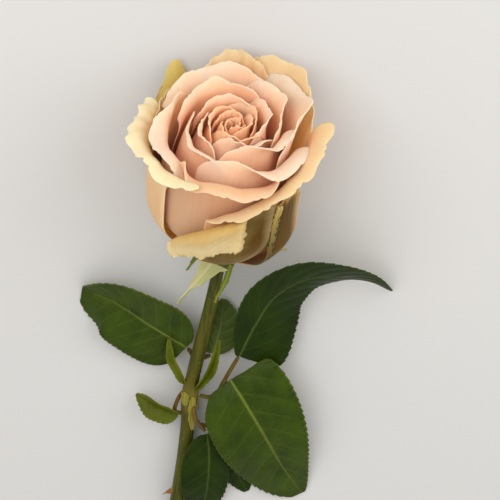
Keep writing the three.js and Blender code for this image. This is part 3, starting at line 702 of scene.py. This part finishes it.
RINGS = [
    {"name": "mid", "turns": (29, 112, -170, -83), "halves": (60, 54, 54, 50), "belly": 23.4,
     "belly_height": 30, "rim": 22.8, "top": 68, "rolls": (145, 95, 65, 118), "roll_width": 12.5,
     "foot": 4.9, "rise": 4.8, "wave": 0.4, "tuck": 0.02},
    {"name": "inner", "turns": (42, 118, -157, -62), "halves": (56, 54, 58, 60), "belly": 19.7,
     "belly_height": 29.5, "rim": 16, "top": 67.5, "rolls": (125, 78, 50, 95), "roll_width": 8.5,
     "foot": 4.2, "rise": 6.8, "wave": 0.3, "tuck": 0.02},
    {"name": "centre", "turns": (16, 98, -166, -76), "halves": (60, 62, 62, 58), "belly": 15.8,
     "belly_height": 29, "rim": 10.3, "top": 67, "rolls": (105, 70, 42, 80), "roll_width": 7,
     "foot": 3.6, "rise": 9},
]
HEART_RINGS = [
    {"turns": (0, 124, -118), "halves": (76, 76, 76), "belly": 12.6, "belly_height": 28, "rim": 7.4,
     "top": 66.5, "rolls": (85, 60, 55), "roll_width": 5, "foot": 2.4, "rise": 11, "drop": 0.08},
    {"turns": (70, -168, -52), "halves": (80, 80, 80), "belly": 9, "belly_height": 27, "rim": 4.8,
     "top": 65.5, "rolls": (60, 35, 60), "roll_width": 4, "foot": 1.8, "rise": 13, "drop": 0.08,
     "spiral": 1},
    {"turns": (20, 142, -102), "halves": (84, 84, 84), "belly": 5.4, "belly_height": 25, "rim": 2.6,
     "top": 64.5, "rolls": (40, 25, 30), "roll_width": 3, "foot": 1.2, "rise": 15, "drop": 0.08,
     "spiral": 0.9, "wave": 0.1},
]
RING_CELLS = (66, 50)
HEART_CELLS = (44, 34)
RING_FINISH = {"mid": "mid", "inner": "inner", "centre": "inner"}
for ring in RINGS:
    name = ring["name"]
    for i, petal in enumerate(ring_petals(ring)):
        petal_piece(f"petal_{name}_{i + 1}", RING_FINISH[name], [petal], RING_CELLS)
heart = [petal for ring in HEART_RINGS for petal in ring_petals(ring)]
petal_piece("bloom_heart", "heart", heart, HEART_CELLS)
print("ring petals:", sum(len(ring["turns"]) for ring in RINGS), "heart petals:", len(heart))

# %% [markdown]
# ## Leaves
# A rose leaf is made of leaflets on a stalk. A leaflet is waxy and dark above, paler and matt
# below, with a midrib in a groove, side veins that leave it at about fifty degrees, a quilted
# surface between them and forward-pointing teeth at the margin. The veins are modelled, because
# their relief shows in the shine; only the finest net of veins is left to the finish.

# %% Leaf finishes
# Cells in a metre: patches of about 11 mm, and a net of smallest veins with meshes of about 1.2 mm
PATCH_CELLS = 90.0
NET_CELLS = 830.0
# By how much the wax is smoother and rougher than the finish's own roughness
WAX_RANGE = (0.07, 0.1)


def leaf_material(name, dark, light, vein, roughness, net_share, scatter=0.12, specular=0.12):
    material, tree, shader = new_material(name, roughness, specular, scatter, depth=0.8)
    spot = add(tree, "TexCoord").outputs["Object"]
    patches = add(tree, "TexNoise", {"Vector": spot, "Scale": PATCH_CELLS, "Detail": 5.0})
    colour = set_ramp(add(tree, "ValToRGB", {"Fac": patches}), [(0.3, dark), (0.72, light)])
    cells = {"Vector": spot, "Scale": NET_CELLS}
    net = add(tree, "TexVoronoi", cells, feature="DISTANCE_TO_EDGE").outputs["Distance"]
    colour = painted(tree, colour, vein, net, (0.0, 0.12), (net_share, 0.0))
    colour = marked(tree, colour, vein, "vein")
    colour = rimmed(tree, colour, vein, 0.6, 0.22)
    low, high = roughness - WAX_RANGE[0], roughness + WAX_RANGE[1]
    wax = add(tree, "MapRange", {0: patches, 1: 0.3, 2: 0.7, 3: low, 4: high})
    set_inputs(tree, shader, {"Roughness": wax})
    cover(tree, shader, colour, net, 0.3)
    return material


under_side = leaf_material("leaf_under_side", "#536026", "#6a7638", "#87925a", 0.62, 0.3)
# The finish of a leaflet's upper side and that of its lower side
leaf_finishes = {
    "ripe": [
        leaf_material("leaf_upper_side", "#213201", "#374902", "#7c8838", 0.38, 0.06), under_side],
    # The deep finish is painted shade: a darker, duller copy of the upper side, for leaflets that lie in
    # shadow
    "deep": [
        leaf_material("shaded_leaf_upper_side", "#142301", "#203102", "#56662a", 0.42, 0.06, 0.08, 0.08),
        under_side],
    "pale": [
        leaf_material("pale_leaf_upper_side", "#3a4a18", "#4c5c26", "#77844a", 0.5, 0.12), under_side],
    "young": [
        leaf_material("young_leaf_upper_side", "#434b04", "#5c640a", "#7c8030", 0.42, 0.08, 0.2),
        leaf_material("young_leaf_under_side", "#5c661a", "#7a8332", "#949a50", 0.6, 0.16, 0.2)],
}
print("leaf finishes:", ", ".join(leaf_finishes))

# %% Leaflet formula
# A pair gives a value for the left half of a leaflet and one for its right half. lift is in degrees
# at the foot and at the tip, shoulder and point are the roundness of the outline's two ends, and
# teeth and ribs are counted along one side.
LEAFLET = {
    "half_width": (10, 10), "lift": ((10, 10), (10, 10)), "shoulder": (0.5, 0.5), "point": (0.8, 0.8),
    "droop": 0.1, "wave": 0.6, "waves": 2, "tooth": 1, "teeth": 21, "ribs": 8, "quilt": 0.28,
}
# Side veins reach the margin this far ahead of where they leave the midrib, as a share of its length
VEIN_SLOPE = 0.2
# Half widths of the relief of a side vein and of the midrib, in mm
SIDE_VEIN = 0.45
MIDRIB = 0.38
LEAF_SHEET = 0.5
# The sheet leaves out the very ends of the midrib, where its width would be 0
LEAF_START = 0.012
LEAF_SPAN = 0.976
# How far out on a leaflet its teeth start, and how soon they are full
TEETH_START = 0.78
TEETH_BAND = 0.22
# By how much the right half's teeth, ripple and side veins are out of step with the left half's
TEETH_STEP = (0, 0.4)
RIPPLE_STEP = (0, 1.5)
RIB_STEP = (0.15, 0.5)


def pick(u, pair):
    """The first value of a pair on the left half, the second on the right."""
    return np.where(u < 0, pair[0], pair[1])


def leaf_surface(leaf):
    """The middle surface of a leaflet, as a function of u and v."""
    leaf = SimpleNamespace(**{**LEAFLET, **leaf})
    midrib = route_through(from_hip(leaf.midrib))
    length = midrib["length"]

    def surface(u, v):
        s = LEAF_START + LEAF_SPAN * v
        out = np.abs(u)
        middle, ahead = at(midrib, s)
        level = unit(np.cross(UP, ahead))
        start = pick(u, (leaf.lift[0][0], leaf.lift[1][0]))
        end = pick(u, (leaf.lift[0][1], leaf.lift[1][1]))
        lift = np.radians(start + (end - start) * s)
        shoulder, point = pick(u, leaf.shoulder), pick(u, leaf.point)
        widest = shoulder / (shoulder + point)
        outline = (s / widest) ** shoulder * ((1 - s) / (1 - widest)) ** point
        width = out * pick(u, leaf.half_width) * outline
        wing = level * (np.where(u < 0, 1, -1) * np.cos(lift))[:, None] + UP * np.sin(lift)[:, None]
        tooth_place = s * leaf.teeth + pick(u, TEETH_STEP)
        saw = (tooth_place - np.floor(tooth_place)) ** 1.3
        reach = leaf.tooth * saw * smooth((out - TEETH_START) / TEETH_BAND) * clamp(1.6 * outline)
        points = middle + wing * (width + 0.6 * reach + 0.4 * out)[:, None]
        points += ahead * (0.7 * reach)[:, None]
        swing = leaf.waves * 2 * math.pi * s + pick(u, RIPPLE_STEP)
        ripple = leaf.wave * np.sin(swing) * u * u
        points[:, 2] += ripple - leaf.droop * width * out

        rib = (s - VEIN_SLOPE * out**1.15) * leaf.ribs + pick(u, RIB_STEP)
        from_rib = np.abs(rib - np.round(rib)) * length / leaf.ribs
        fade = clamp(1 - 0.8 * out**3) * clamp(8 * (1 - s))
        near_rib = bell(from_rib, SIDE_VEIN) * fade
        near_midrib = bell(width, MIDRIB) * clamp(1.15 - s)
        pillow = np.abs(np.sin(math.pi * rib)) ** 0.8 * clamp(out * 4) * fade
        points[:, 2] += leaf.quilt * (pillow - 0.5 * near_rib - 0.8 * near_midrib)
        vein = clamp(0.1 * near_rib + 0.65 * near_midrib)
        margin = (1 - out) * pick(u, leaf.half_width) * outline
        return above_floor(points, LEAF_SHEET / 2), {"margin": margin, "vein": vein}

    return surface


print("side veins of a plain leaflet:", 2 * LEAFLET["ribs"])

# %% Leaflets
# leaf_right_leaflet_1 and both low leaflets take the deep finish, which paints shade on them: their upper
# side is painted darker because they lie in shadow
LEAVES = {
    "leaf_left_leaflet_1": {
        "midrib": [(-7.6, -54.6, 6), (-24.8, -44.2, 10), (-40.7, -36.6, 8.5), (-55.7, -36.2, 0.4)],
        "half_width": (18, 16), "lift": ((-4, 2), (10, 50)), "shoulder": (0.2, 0.5), "point": (0.34, 0.6)},
    "leaf_left_leaflet_2": {
        "midrib": [(3.4, -57.5, 3), (4.9, -44.8, 3.6), (4.4, -31, 2)],
        "half_width": (7, 8), "lift": ((0, 0), (0, 0)), "wave": 0.2, "teeth": 13, "ribs": 6,
        "finish": "pale"},
    "leaf_right_leaflet_1": {
        "midrib": [(14.1, -54, 10), (18.4, -35.3, 14), (24.1, -19.1, 18), (34.8, -9.1, 19),
                   (49.3, -7.4, 15), (62.8, -10.5, 8), (74.4, -17.4, 0.4)],
        "half_width": (13, 19), "lift": ((10, 60), (0, -70)), "shoulder": (0.8, 0.12), "point": (0.8, 1.1),
        "teeth": 30, "ribs": 11, "finish": "deep"},
    "leaf_right_leaflet_2": {
        "midrib": [(11.7, -63.9, 10.5), (18, -70.2, 14), (29.8, -86, 14), (42.8, -107, 7),
                   (53.9, -122.5, 0.4)],
        "half_width": (21.5, 21), "lift": ((8, 4), (6, 2)), "shoulder": (0.12, 0.3),
        "point": (0.75, 0.5), "teeth": 25},
    "leaf_low_leaflet_1": {
        "midrib": [(6.3, -92.4, 10), (9, -103.5, 10.8), (10.6, -120.6, 8.6), (10.6, -143.4, 0.4)],
        "half_width": (9, 12), "lift": ((-15, -15), (12, 20)), "teeth": 18, "ribs": 7,
        "finish": "deep"},
    "leaf_low_leaflet_2": {
        "midrib": [(9.8, -93.5, 4.6), (18.3, -107.3, 4.6), (29.2, -125.4, 0.4)],
        "half_width": (8, 8), "lift": ((0, 0), (-8, 0)), "teeth": 16, "ribs": 7,
        "finish": "deep"},
}
YOUNG_LEAVES = {
    "leaf_young": {
        "midrib": [(-6.6, -86.6, 6), (-12.9, -85.4, 7.5), (-19.8, -83, 7.5), (-26.3, -81.1, 4)],
        "half_width": (6, 6), "lift": ((40, 30), (60, 40)), "teeth": 12, "ribs": 5, "quilt": 0.15},
    "shoot_left": {
        "midrib": [(-6.4, -71.4, 6.9), (-8.6, -68, 7.6), (-13.9, -59, 9), (-16.2, -49, 10)],
        "half_width": (1.9, 1.9), "lift": ((50, 30), (50, 30)), "tooth": 0.4, "teeth": 9, "ribs": 5,
        "quilt": 0.08},
    "shoot_right": {
        "midrib": [(-1.2, -73, 7.9), (0.2, -69.5, 8.6), (2.9, -64, 9.6), (4.2, -56, 11.5),
                   (4.6, -44.7, 13)],
        "half_width": (2.8, 2.8), "lift": ((60, 50), (60, 50)), "tooth": 0.5, "teeth": 10, "ribs": 5,
        "quilt": 0.1},
}
LEAF_CELLS = (40, 220)


def leaf_piece(name, leaf, finish):
    bm = new_mesh()
    add_sheet(bm, leaf_surface(leaf), LEAF_CELLS)
    thicken(new_piece(f"{name}_sheet", bm, leaf_finishes[finish], [name]), LEAF_SHEET)


for name, leaf in LEAVES.items():
    leaf_piece(name, leaf, leaf.get("finish", "ripe"))
for name, leaf in YOUNG_LEAVES.items():
    leaf_piece(name, leaf, "young")
print("leaflets:", len(LEAVES), "young leaves:", len(YOUNG_LEAVES))

# %% [markdown]
# ## Stem, prickles and stalks
# The stem is a tube that thickens at its joints, where leaves and shoots start. Its profile is
# spun round an axis and then bent along the stem's line. A prickle is a flattened hook that grows
# from the skin alone, so it is a piece of its own, set on the stem. Stalks are thin tubes.

# %% Stem finish
# Cells in a metre: streaks of about 1 mm by 17 mm, patches of about 18 mm, pores about 3 mm apart
STREAK_CELLS = (900, 60, 900)
BLUSH_CELLS = 55.0
PORE_CELLS = 330.0
JOINT_OLIVE = "#7d7430"
PORE_TAN = "#8f8a4a"
CUT_PITH = "#c9cc93"


def stem_material(name, dark, light, blush, roughness=0.42):
    """Green skin with a blush on the joints, streaks along the stem and small pale pores."""
    material, tree, shader = new_material(name, roughness, specular=0.2, scatter=0.08, depth=0.8)
    spot = add(tree, "TexCoord").outputs["Object"]
    grain = add(tree, "Mapping", {"Vector": spot, "Scale": STREAK_CELLS})
    streaks = add(tree, "TexNoise", {"Vector": grain, "Scale": 1.0, "Detail": 4.0})
    colour = set_ramp(add(tree, "ValToRGB", {"Fac": streaks}), [(0.3, dark), (0.7, light)])
    patches = add(tree, "TexNoise", {"Vector": spot, "Scale": BLUSH_CELLS, "Detail": 3.0})
    colour = painted(tree, colour, blush, patches, (0.45, 0.75), (0.0, 0.45))
    colour = marked(tree, colour, JOINT_OLIVE, "vein")
    pores = add(tree, "TexVoronoi", {"Vector": spot, "Scale": PORE_CELLS}).outputs["Distance"]
    colour = painted(tree, colour, PORE_TAN, pores, (0.06, 0.14), (0.5, 0.0))
    colour = marked(tree, colour, CUT_PITH, "tint")
    cover(tree, shader, colour, streaks, 0.35)
    return material


stem_finish = stem_material("stem_skin", "#2f3502", "#53540a", "#5a430e")
stalk_finish = stem_material("stalk_skin", "#4a3f10", "#6b5a1e", "#6b2c18")
prickle_finish = stem_material("prickle_horn", "#6e4a22", "#9a6c3a", "#7a3a20", 0.35)
hip_finish = stem_material("hip_skin", "#5c6a24", "#7f8b3e", "#6b7230", 0.5)
print("skins:", ", ".join(m.name for m in (stem_finish, stalk_finish, prickle_finish, hip_finish)))

# %% Stem
STEM_LINE = [
    (-0.7, -10.9, 16.1), (-1, -28, 11.5), (-1.9, -44, 9), (-2.7, -55, 7.9), (-3.5, -75.5, 6.5),
    (-2.1, -95, 5.5), (-1.4, -121.5, 4.6), (-1.8, -160, 3.9), (-3, -200, 3.7), (-1.4, -250, 3.5),
    (0.6, -295, 3.4), (0.4, -330, 3.4),
]
# Distances from the hip, and the radius at each
STEM_PROFILE = [
    (0, 2.4), (8, 2.6), (24, 2.8), (44, 2.95), (58, 3), (63, 3.5), (67, 3.8), (71, 3.5), (76, 3),
    (100, 3), (128, 3.05), (156, 3.1), (182, 3.2), (188, 3.7), (191, 3.75), (196, 3.2), (222, 3.25),
    (250, 3.3), (277, 3.35), (300, 3.4), (318, 3.4),
]
STEM_JOINTS = (67, 190)
JOINT_REACH = 5
JOINT_SHARE = 0.6
STEM_STATIONS = 260
STEM_SIDES = 40
# Rings of the cut end: [share of the radius, hollow in mm, paleness]
CUT_RINGS = [(0.9, 0, 0.1), (0.8, 0.1, 0.9), (0.45, 0.1, 0.8), (0.3, 0.5, 0.5), (0, 0.6, 0.5)]
MERGE_DISTANCE = 1e-5

stem_route = route_through(from_hip(STEM_LINE))
STEM_END = STEM_PROFILE[-1][0]


def stem_frame(distance):
    """Middle, direction, side and top of the stem at distances from the hip."""
    middle, ahead = at(stem_route, clamp(np.asarray(distance, dtype=float) / STEM_END))
    sideways = unit(np.cross(UP, ahead))
    return middle, ahead, sideways, np.cross(ahead, sideways)


def stem_radius(distance):
    return np.interp(distance, [d for d, _ in STEM_PROFILE], [r for _, r in STEM_PROFILE])


def near_joints(distance):
    return sum(bell(distance - joint, JOINT_REACH) for joint in STEM_JOINTS)


def spin_profile(bm, profile, sides):
    """Spins stations of [radius, height, tint] round the Z axis and returns all points, in mm."""
    tint_layer = bm.verts.layers.float["tint"]
    line = []
    for radius, height, tint in profile:
        line.append(bm.verts.new((radius, 0, height)))
        line[-1][tint_layer] = tint
    edges = [bm.edges.new(pair) for pair in zip(line, line[1:])]
    bmesh.ops.spin(bm, geom=line + edges, cent=(0, 0, 0), axis=(0, 0, 1), angle=2 * math.pi,
                   steps=sides, use_merge=True, use_duplicate=False)
    bmesh.ops.remove_doubles(bm, verts=bm.verts, dist=MERGE_DISTANCE)
    return np.array([vertex.co for vertex in bm.verts])


bm = new_mesh()
distances = np.linspace(0, STEM_END, STEM_STATIONS)
end_radius = float(stem_radius(STEM_END))
profile = [(0.0, 0.0, 0)] + [(float(stem_radius(d)), d, 0) for d in distances]
profile += [(end_radius * part, STEM_END - hollow, pale) for part, hollow, pale in CUT_RINGS]
across, along, distance = spin_profile(bm, profile, STEM_SIDES).T
around = np.arctan2(along, across)
ribbing = 1 + 0.012 * np.sin(5 * around + 0.02 * distance) + 0.008 * np.sin(0.21 * distance + around)
middle, ahead, sideways, upward = stem_frame(distance)
bent = middle + sideways * (across * ribbing)[:, None] + upward * (along * ribbing)[:, None]
place_points(bm, bm.verts, above_floor(bent), {"vein": JOINT_SHARE * near_joints(distance)})
bmesh.ops.recalc_face_normals(bm, faces=bm.faces)
stem = new_piece("stem_tube", bm, [stem_finish], ["stem"])
print("stem vertices:", len(stem.data.vertices))

# %% Tubes
def tube_surface(centre, across, along, radius_across, radius_along):
    """A tube round places given by v; u runs once round it."""
    def surface(u, v):
        angle = u * math.pi
        points = centre(v) + across(v) * (radius_across(v) * np.cos(angle))[:, None]
        points += along(v) * (radius_along(v) * np.sin(angle))[:, None]
        return above_floor(points), {}
    return surface


def close_tubes(bm):
    """Joins the seams and ends of tubes and turns their faces outwards."""
    bmesh.ops.remove_doubles(bm, verts=bm.verts, dist=1e-6)
    bmesh.ops.dissolve_degenerate(bm, edges=bm.edges, dist=1e-7)
    bmesh.ops.recalc_face_normals(bm, faces=bm.faces)


def fixed(direction):
    return lambda v: direction * np.ones(len(v))[:, None]


def narrowing(half, power):
    """A radius that shrinks to a point, from a foot that closes at once."""
    return lambda v: half * (1 - v) ** power * clamp(v * 50)


# Distance from the hip, turn round the stem in degrees, and height
PRICKLES = [(92, 60, 4.6), (116, -70, 5), (146, 20, 5.2), (171, 118, 4.8), (214, -50, 5.2), (243, 75, 5),
            (281, -20, 4.6)]
PRICKLE_START = 1.8
PRICKLE_SINK = 1.2
PRICKLE_HOOK = 2.4
# Half width of a prickle across and along the stem, and how soon it narrows
PRICKLE_ACROSS = (1.1, 1.2)
PRICKLE_ALONG = (2.6, 1.5)
PRICKLE_CELLS = (24, 20)
bm = new_mesh()
for distance, turn, height in PRICKLES:
    middle, ahead, sideways, upward = stem_frame(distance)
    outward = upward * math.cos(math.radians(turn)) + sideways * math.sin(math.radians(turn))
    root = middle + outward * PRICKLE_START
    whole = height + PRICKLE_SINK
    add_sheet(bm, tube_surface(
        lambda v: root + outward * (whole * v)[:, None] + ahead * (PRICKLE_HOOK * v**2)[:, None],
        fixed(np.cross(outward, ahead)), fixed(ahead),
        narrowing(*PRICKLE_ACROSS), narrowing(*PRICKLE_ALONG),
    ), PRICKLE_CELLS)
close_tubes(bm)
new_piece("prickles", bm, [prickle_finish])
print("prickles:", len(PRICKLES))

# %% [markdown]
# ### Stipules
# Where a rose leaf leaves the stem, its stalk has two thin papery wings, the stipules, which clasp
# the joint and dry to a pale strap. They are a sheet bent round the stem, a little off its skin.

# %% Stipules
# Distance from the hip at a strap's start and end, turn round the stem, half width, lift of its tip
STIPULES = [(65, 82, 20, 1.5, 0.9), (63.5, 69.5, -34, 1.7, 0.3), (66, 73.5, 76, 1.2, 0.7)]
STIPULE_SHEET = 0.3
STIPULE_CELLS = (16, 40)
STIPULE_GAP = 0.28


def stipule_surface(start, end, turn, half_width, tip_lift):
    def surface(u, v):
        distance = start + (end - start) * v
        middle, ahead, sideways, upward = stem_frame(distance)
        radius = stem_radius(distance) + STIPULE_GAP + tip_lift * v**3 + 0.35 * u * u
        ends = np.sqrt(np.clip(1 - v**3, 0.02, 1) * np.clip(v / 0.16, 0.05, 1))
        width = ends * (1 + 0.1 * np.sin(19 * v + turn)) * half_width
        around = np.radians(turn + 12 * v) + u * width / stem_radius(distance)
        points = middle + upward * (radius * np.cos(around))[:, None]
        points += sideways * (radius * np.sin(around))[:, None]
        vein = 0.5 * bell(u, 0.15)
        return points, {"margin": (1 - np.abs(u)) * half_width, "vein": vein}
    return surface


stipule_finish = [leaf_material("stipule_dry_strap", "#6c6a14", "#8a7f30", "#a89a58", 0.5, 0.3, 0.2)]
bm = new_mesh()
for strap in STIPULES:
    add_sheet(bm, stipule_surface(*strap), STIPULE_CELLS)
thicken(new_piece("stipules", bm, stipule_finish), STIPULE_SHEET)
print("stipules:", len(STIPULES))

# %% Leaf stalks
# Each stalk is one or more branches, and each branch a tube through some points
STALKS = {
    "leaf_left_stalk": [
        [(-3, -72.6, 1.6), (-3.4, -64, 1.8), (-5.6, -58.6, 2.6), (-7.4, -55.8, 4.4)],
        [(-3.1, -66, 1.7), (-1, -61.6, 1.9), (2.8, -58.4, 2.4)],
    ],
    "leaf_right_stalk": [
        [(0.9, -76.4, 6.4), (5, -76.5, 7), (8.2, -72.5, 8), (10.9, -65.4, 9.4)],
        [(8.6, -71.4, 8.2), (11.6, -62, 8.4), (14.3, -53.4, 9.7)],
    ],
    "leaf_low_stalk": [
        [(-1, -80.5, 10), (0.6, -86, 10.4), (5.6, -91.7, 10)],
        [(2.6, -88.6, 10.2), (6, -90.4, 7.4), (9.6, -93.2, 4.8)],
    ],
    "leaf_young_stalk": [
        [(-6.2, -75, 7.2), (-7.9, -78.4, 7.2), (-8.6, -81.6, 7), (-8.9, -84.6, 6.7), (-8.2, -86.4, 6.3)],
        [(-4.6, -87, 5.6), (-7, -86.6, 6.1), (-9.6, -86, 6.6)],
    ],
}
STALK_RADIUS = 0.9
STALK_CELLS = (18, 60)


def rounded(v):
    """A tube's radius as a share: full along its middle and round at both ends."""
    return np.sqrt(clamp(1 - np.abs(2 * v - 1) ** 14))


def branch_surface(points):
    route = route_through(from_hip(points))

    def side(v):
        return unit(np.cross(UP, at(route, v)[1]))

    def over(v):
        return np.cross(at(route, v)[1], side(v))

    def radius(v):
        return STALK_RADIUS * rounded(v)

    return tube_surface(lambda v: at(route, v)[0], side, over, radius, radius)


for name, branches in STALKS.items():
    bm = new_mesh()
    for points in branches:
        add_sheet(bm, branch_surface(points), STALK_CELLS)
    close_tubes(bm)
    new_piece(f"{name}_tube", bm, [stalk_finish], [name])
print("stalks:", len(STALKS))

# %% [markdown]
# ## Hip and sepals
# The hip is the swelling below the petals. It is round, so its profile is spun round the bloom's
# axis, and Subdivision Surface rounds it off. Five sepals, the green leaves of the bud, grow from it
# and hang back along the stem. They are thick, keeled and pale inside, and end in a thread. They are
# sheets moved by a formula, as leaflets are, so that each can hang and turn in its own way.

# %% Hip
HIP_PROFILE = [(0, -11), (2.5, -11), (3.4, -9.6), (5.2, -6.4), (6.2, -3.6), (6.7, -1.7), (2.3, 9), (0, 10)]
HIP_SIDES = 48
HIP_SMOOTHING = 2
bm = new_mesh()
flat = spin_profile(bm, [(radius, height, 0) for radius, height in HIP_PROFILE], HIP_SIDES)
place_points(bm, bm.verts, in_bloom(*flat.T), {})
bmesh.ops.recalc_face_normals(bm, faces=bm.faces)
hip = new_piece("hip_body", bm, [hip_finish], ["hip"])
rounding = hip.modifiers.new("rounding", "SUBSURF")
rounding.levels = rounding.render_levels = HIP_SMOOTHING
print("hip faces before rounding:", len(hip.data.polygons))

# %% Sepals
# turn is in degrees round the bloom, at a sepal's foot and at its tip. end is the radius and height
# of its tip, thread the share of its length where only a thread is left.
SEPAL_BASE = (7.4, -2.9)
SEPALS = [
    {"turn": (-38, -76), "end": (19, -29), "half_width": 7.4, "bulge": 2.4, "thread": 0.52},
    {"turn": (-112, -92), "end": (15, -14), "half_width": 3, "bulge": 0.5, "thread": 0.8, "twist": 62,
     "finish": "green"},
    {"turn": (24, -22), "end": (7, -25), "half_width": 1.2, "bulge": 2.2, "thread": 0.9,
     "finish": "green"},
    {"turn": (84, 84), "end": (26, 4), "half_width": 3.6, "bulge": -3, "thread": 0.8},
    {"turn": (-176, -160), "end": (9, -23), "half_width": 3.4, "bulge": 1, "thread": 0.8},
]
SEPAL_SHEET = 0.6
SEPAL_CELLS = (24, 110)
THREAD_HALF_WIDTH = 0.45


def sepal_surface(sepal):
    def surface(u, v):
        out = np.abs(u)
        end_radius, end_height = sepal["end"]
        radius = SEPAL_BASE[0] + (end_radius - SEPAL_BASE[0]) * v + sepal["bulge"] * np.sin(math.pi * v)
        height = SEPAL_BASE[1] + (end_height - SEPAL_BASE[1]) * v
        blade = clamp(1 - v / sepal["thread"]) ** 1.3
        width = 0.7 * sepal["half_width"] * (1 + v) * blade + THREAD_HALF_WIDTH
        lobes = 0.35 * smooth((out - 0.7) / 0.3) * clamp(np.sin(19 * v + pick(u, (0, 1.3)))) ** 3
        turn = np.radians(sepal["turn"][0] + (sepal["turn"][1] - sepal["turn"][0]) * v)
        keel = 0.22 * width * out
        inward = radius - keel - 0.35 * bell(u * width, 0.6)
        twist = np.radians(sepal.get("twist", 0)) * smooth(v / 0.3)
        aside = u * width * (1 + lobes)
        inward, aside = inward + aside * np.sin(twist), aside * np.cos(twist)
        points = in_bloom(np.sin(turn) * inward + np.cos(turn) * aside,
                          -np.cos(turn) * inward + np.sin(turn) * aside, height)
        values = {"margin": (1 - out) * width, "vein": 0.7 * bell(u * width, 0.5)}
        return above_floor(points, SEPAL_SHEET / 2), values
    return surface


# The finish of a sepal's outer side and that of its inner side
sepal_finishes = {
    "pale": [
        leaf_material("sepal_outer_side", "#6f7a34", "#98a05c", "#b9b67c", 0.6, 0.12, 0.2),
        leaf_material("sepal_inner_side", "#a3a56c", "#c2bd88", "#cdc79c", 0.75, 0.12, 0.2)],
    "green": [leaf_material("sepal_green_side", "#3d460e", "#5f6a1a", "#8c9440", 0.55, 0.12, 0.2)] * 2,
}
for i, sepal in enumerate(SEPALS):
    bm = new_mesh()
    add_sheet(bm, sepal_surface(sepal), SEPAL_CELLS)
    finish = sepal_finishes[sepal.get("finish", "pale")]
    thicken(new_piece(f"sepal_{i + 1}_sheet", bm, finish, [f"sepal_{i + 1}"]), SEPAL_SHEET)
print("sepals:", len(SEPALS))

# %% [markdown]
# ## Floor and light
# The floor is plain and pale. Two large soft lamps stand near the viewer, one over each shoulder,
# and the sky is bright but even. Light that comes from so many sides leaves only soft shade
# between the petals, as a studio with white walls does, and the camera looks down on the stem.

# %% Floor
FLOOR_SIZE = 3.0
bm = bmesh.new()
bmesh.ops.create_grid(bm, x_segments=1, y_segments=1, size=FLOOR_SIZE)
floor_mesh = bpy.data.meshes.new("floor")
bm.to_mesh(floor_mesh)
bm.free()
floor = new_object("floor", floor_mesh)
floor_material, _, floor_shader = new_material("matt_floor", 0.9, specular=0.2)
floor_shader.inputs["Base Color"].default_value = linear("#c9c8c6")
floor_mesh.materials.append(floor_material)
print("floor", 2 * FLOOR_SIZE, "m wide")

# %% Lights
LAMP_DISTANCE = 700
# Direction from the hip to the right, up and towards the viewer, power in watts, and size in mm
LAMPS = [(-0.35, 0.1, 0.9, 2.2, 500), (0.75, 0.1, 0.65, 2.5, 700)]
SKY_COLOUR = (1.0, 0.98, 0.95, 1.0)
SKY_STRENGTH = 0.76
for i, (across, up, back, power, size) in enumerate(LAMPS):
    lamp_data = bpy.data.lights.new(f"lamp_{i + 1}", "AREA")
    lamp_data.energy = power
    lamp_data.size = size * MM
    lamp = new_object(f"lamp_{i + 1}", lamp_data)
    offset = (view_right * across + view_up * up + view_back * back) * LAMP_DISTANCE
    lamp.location = (Vector(HIP) + offset) * MM
    lamp.rotation_euler = offset.to_track_quat("Z", "Y").to_euler()
world = bpy.data.worlds.new("sky")
world.use_nodes = True
sky = world.node_tree.nodes["Background"].inputs
sky["Color"].default_value = SKY_COLOUR
sky["Strength"].default_value = SKY_STRENGTH
bpy.context.scene.world = world
bpy.context.scene.view_settings.view_transform = "Standard"
print("lamps:", len(LAMPS))
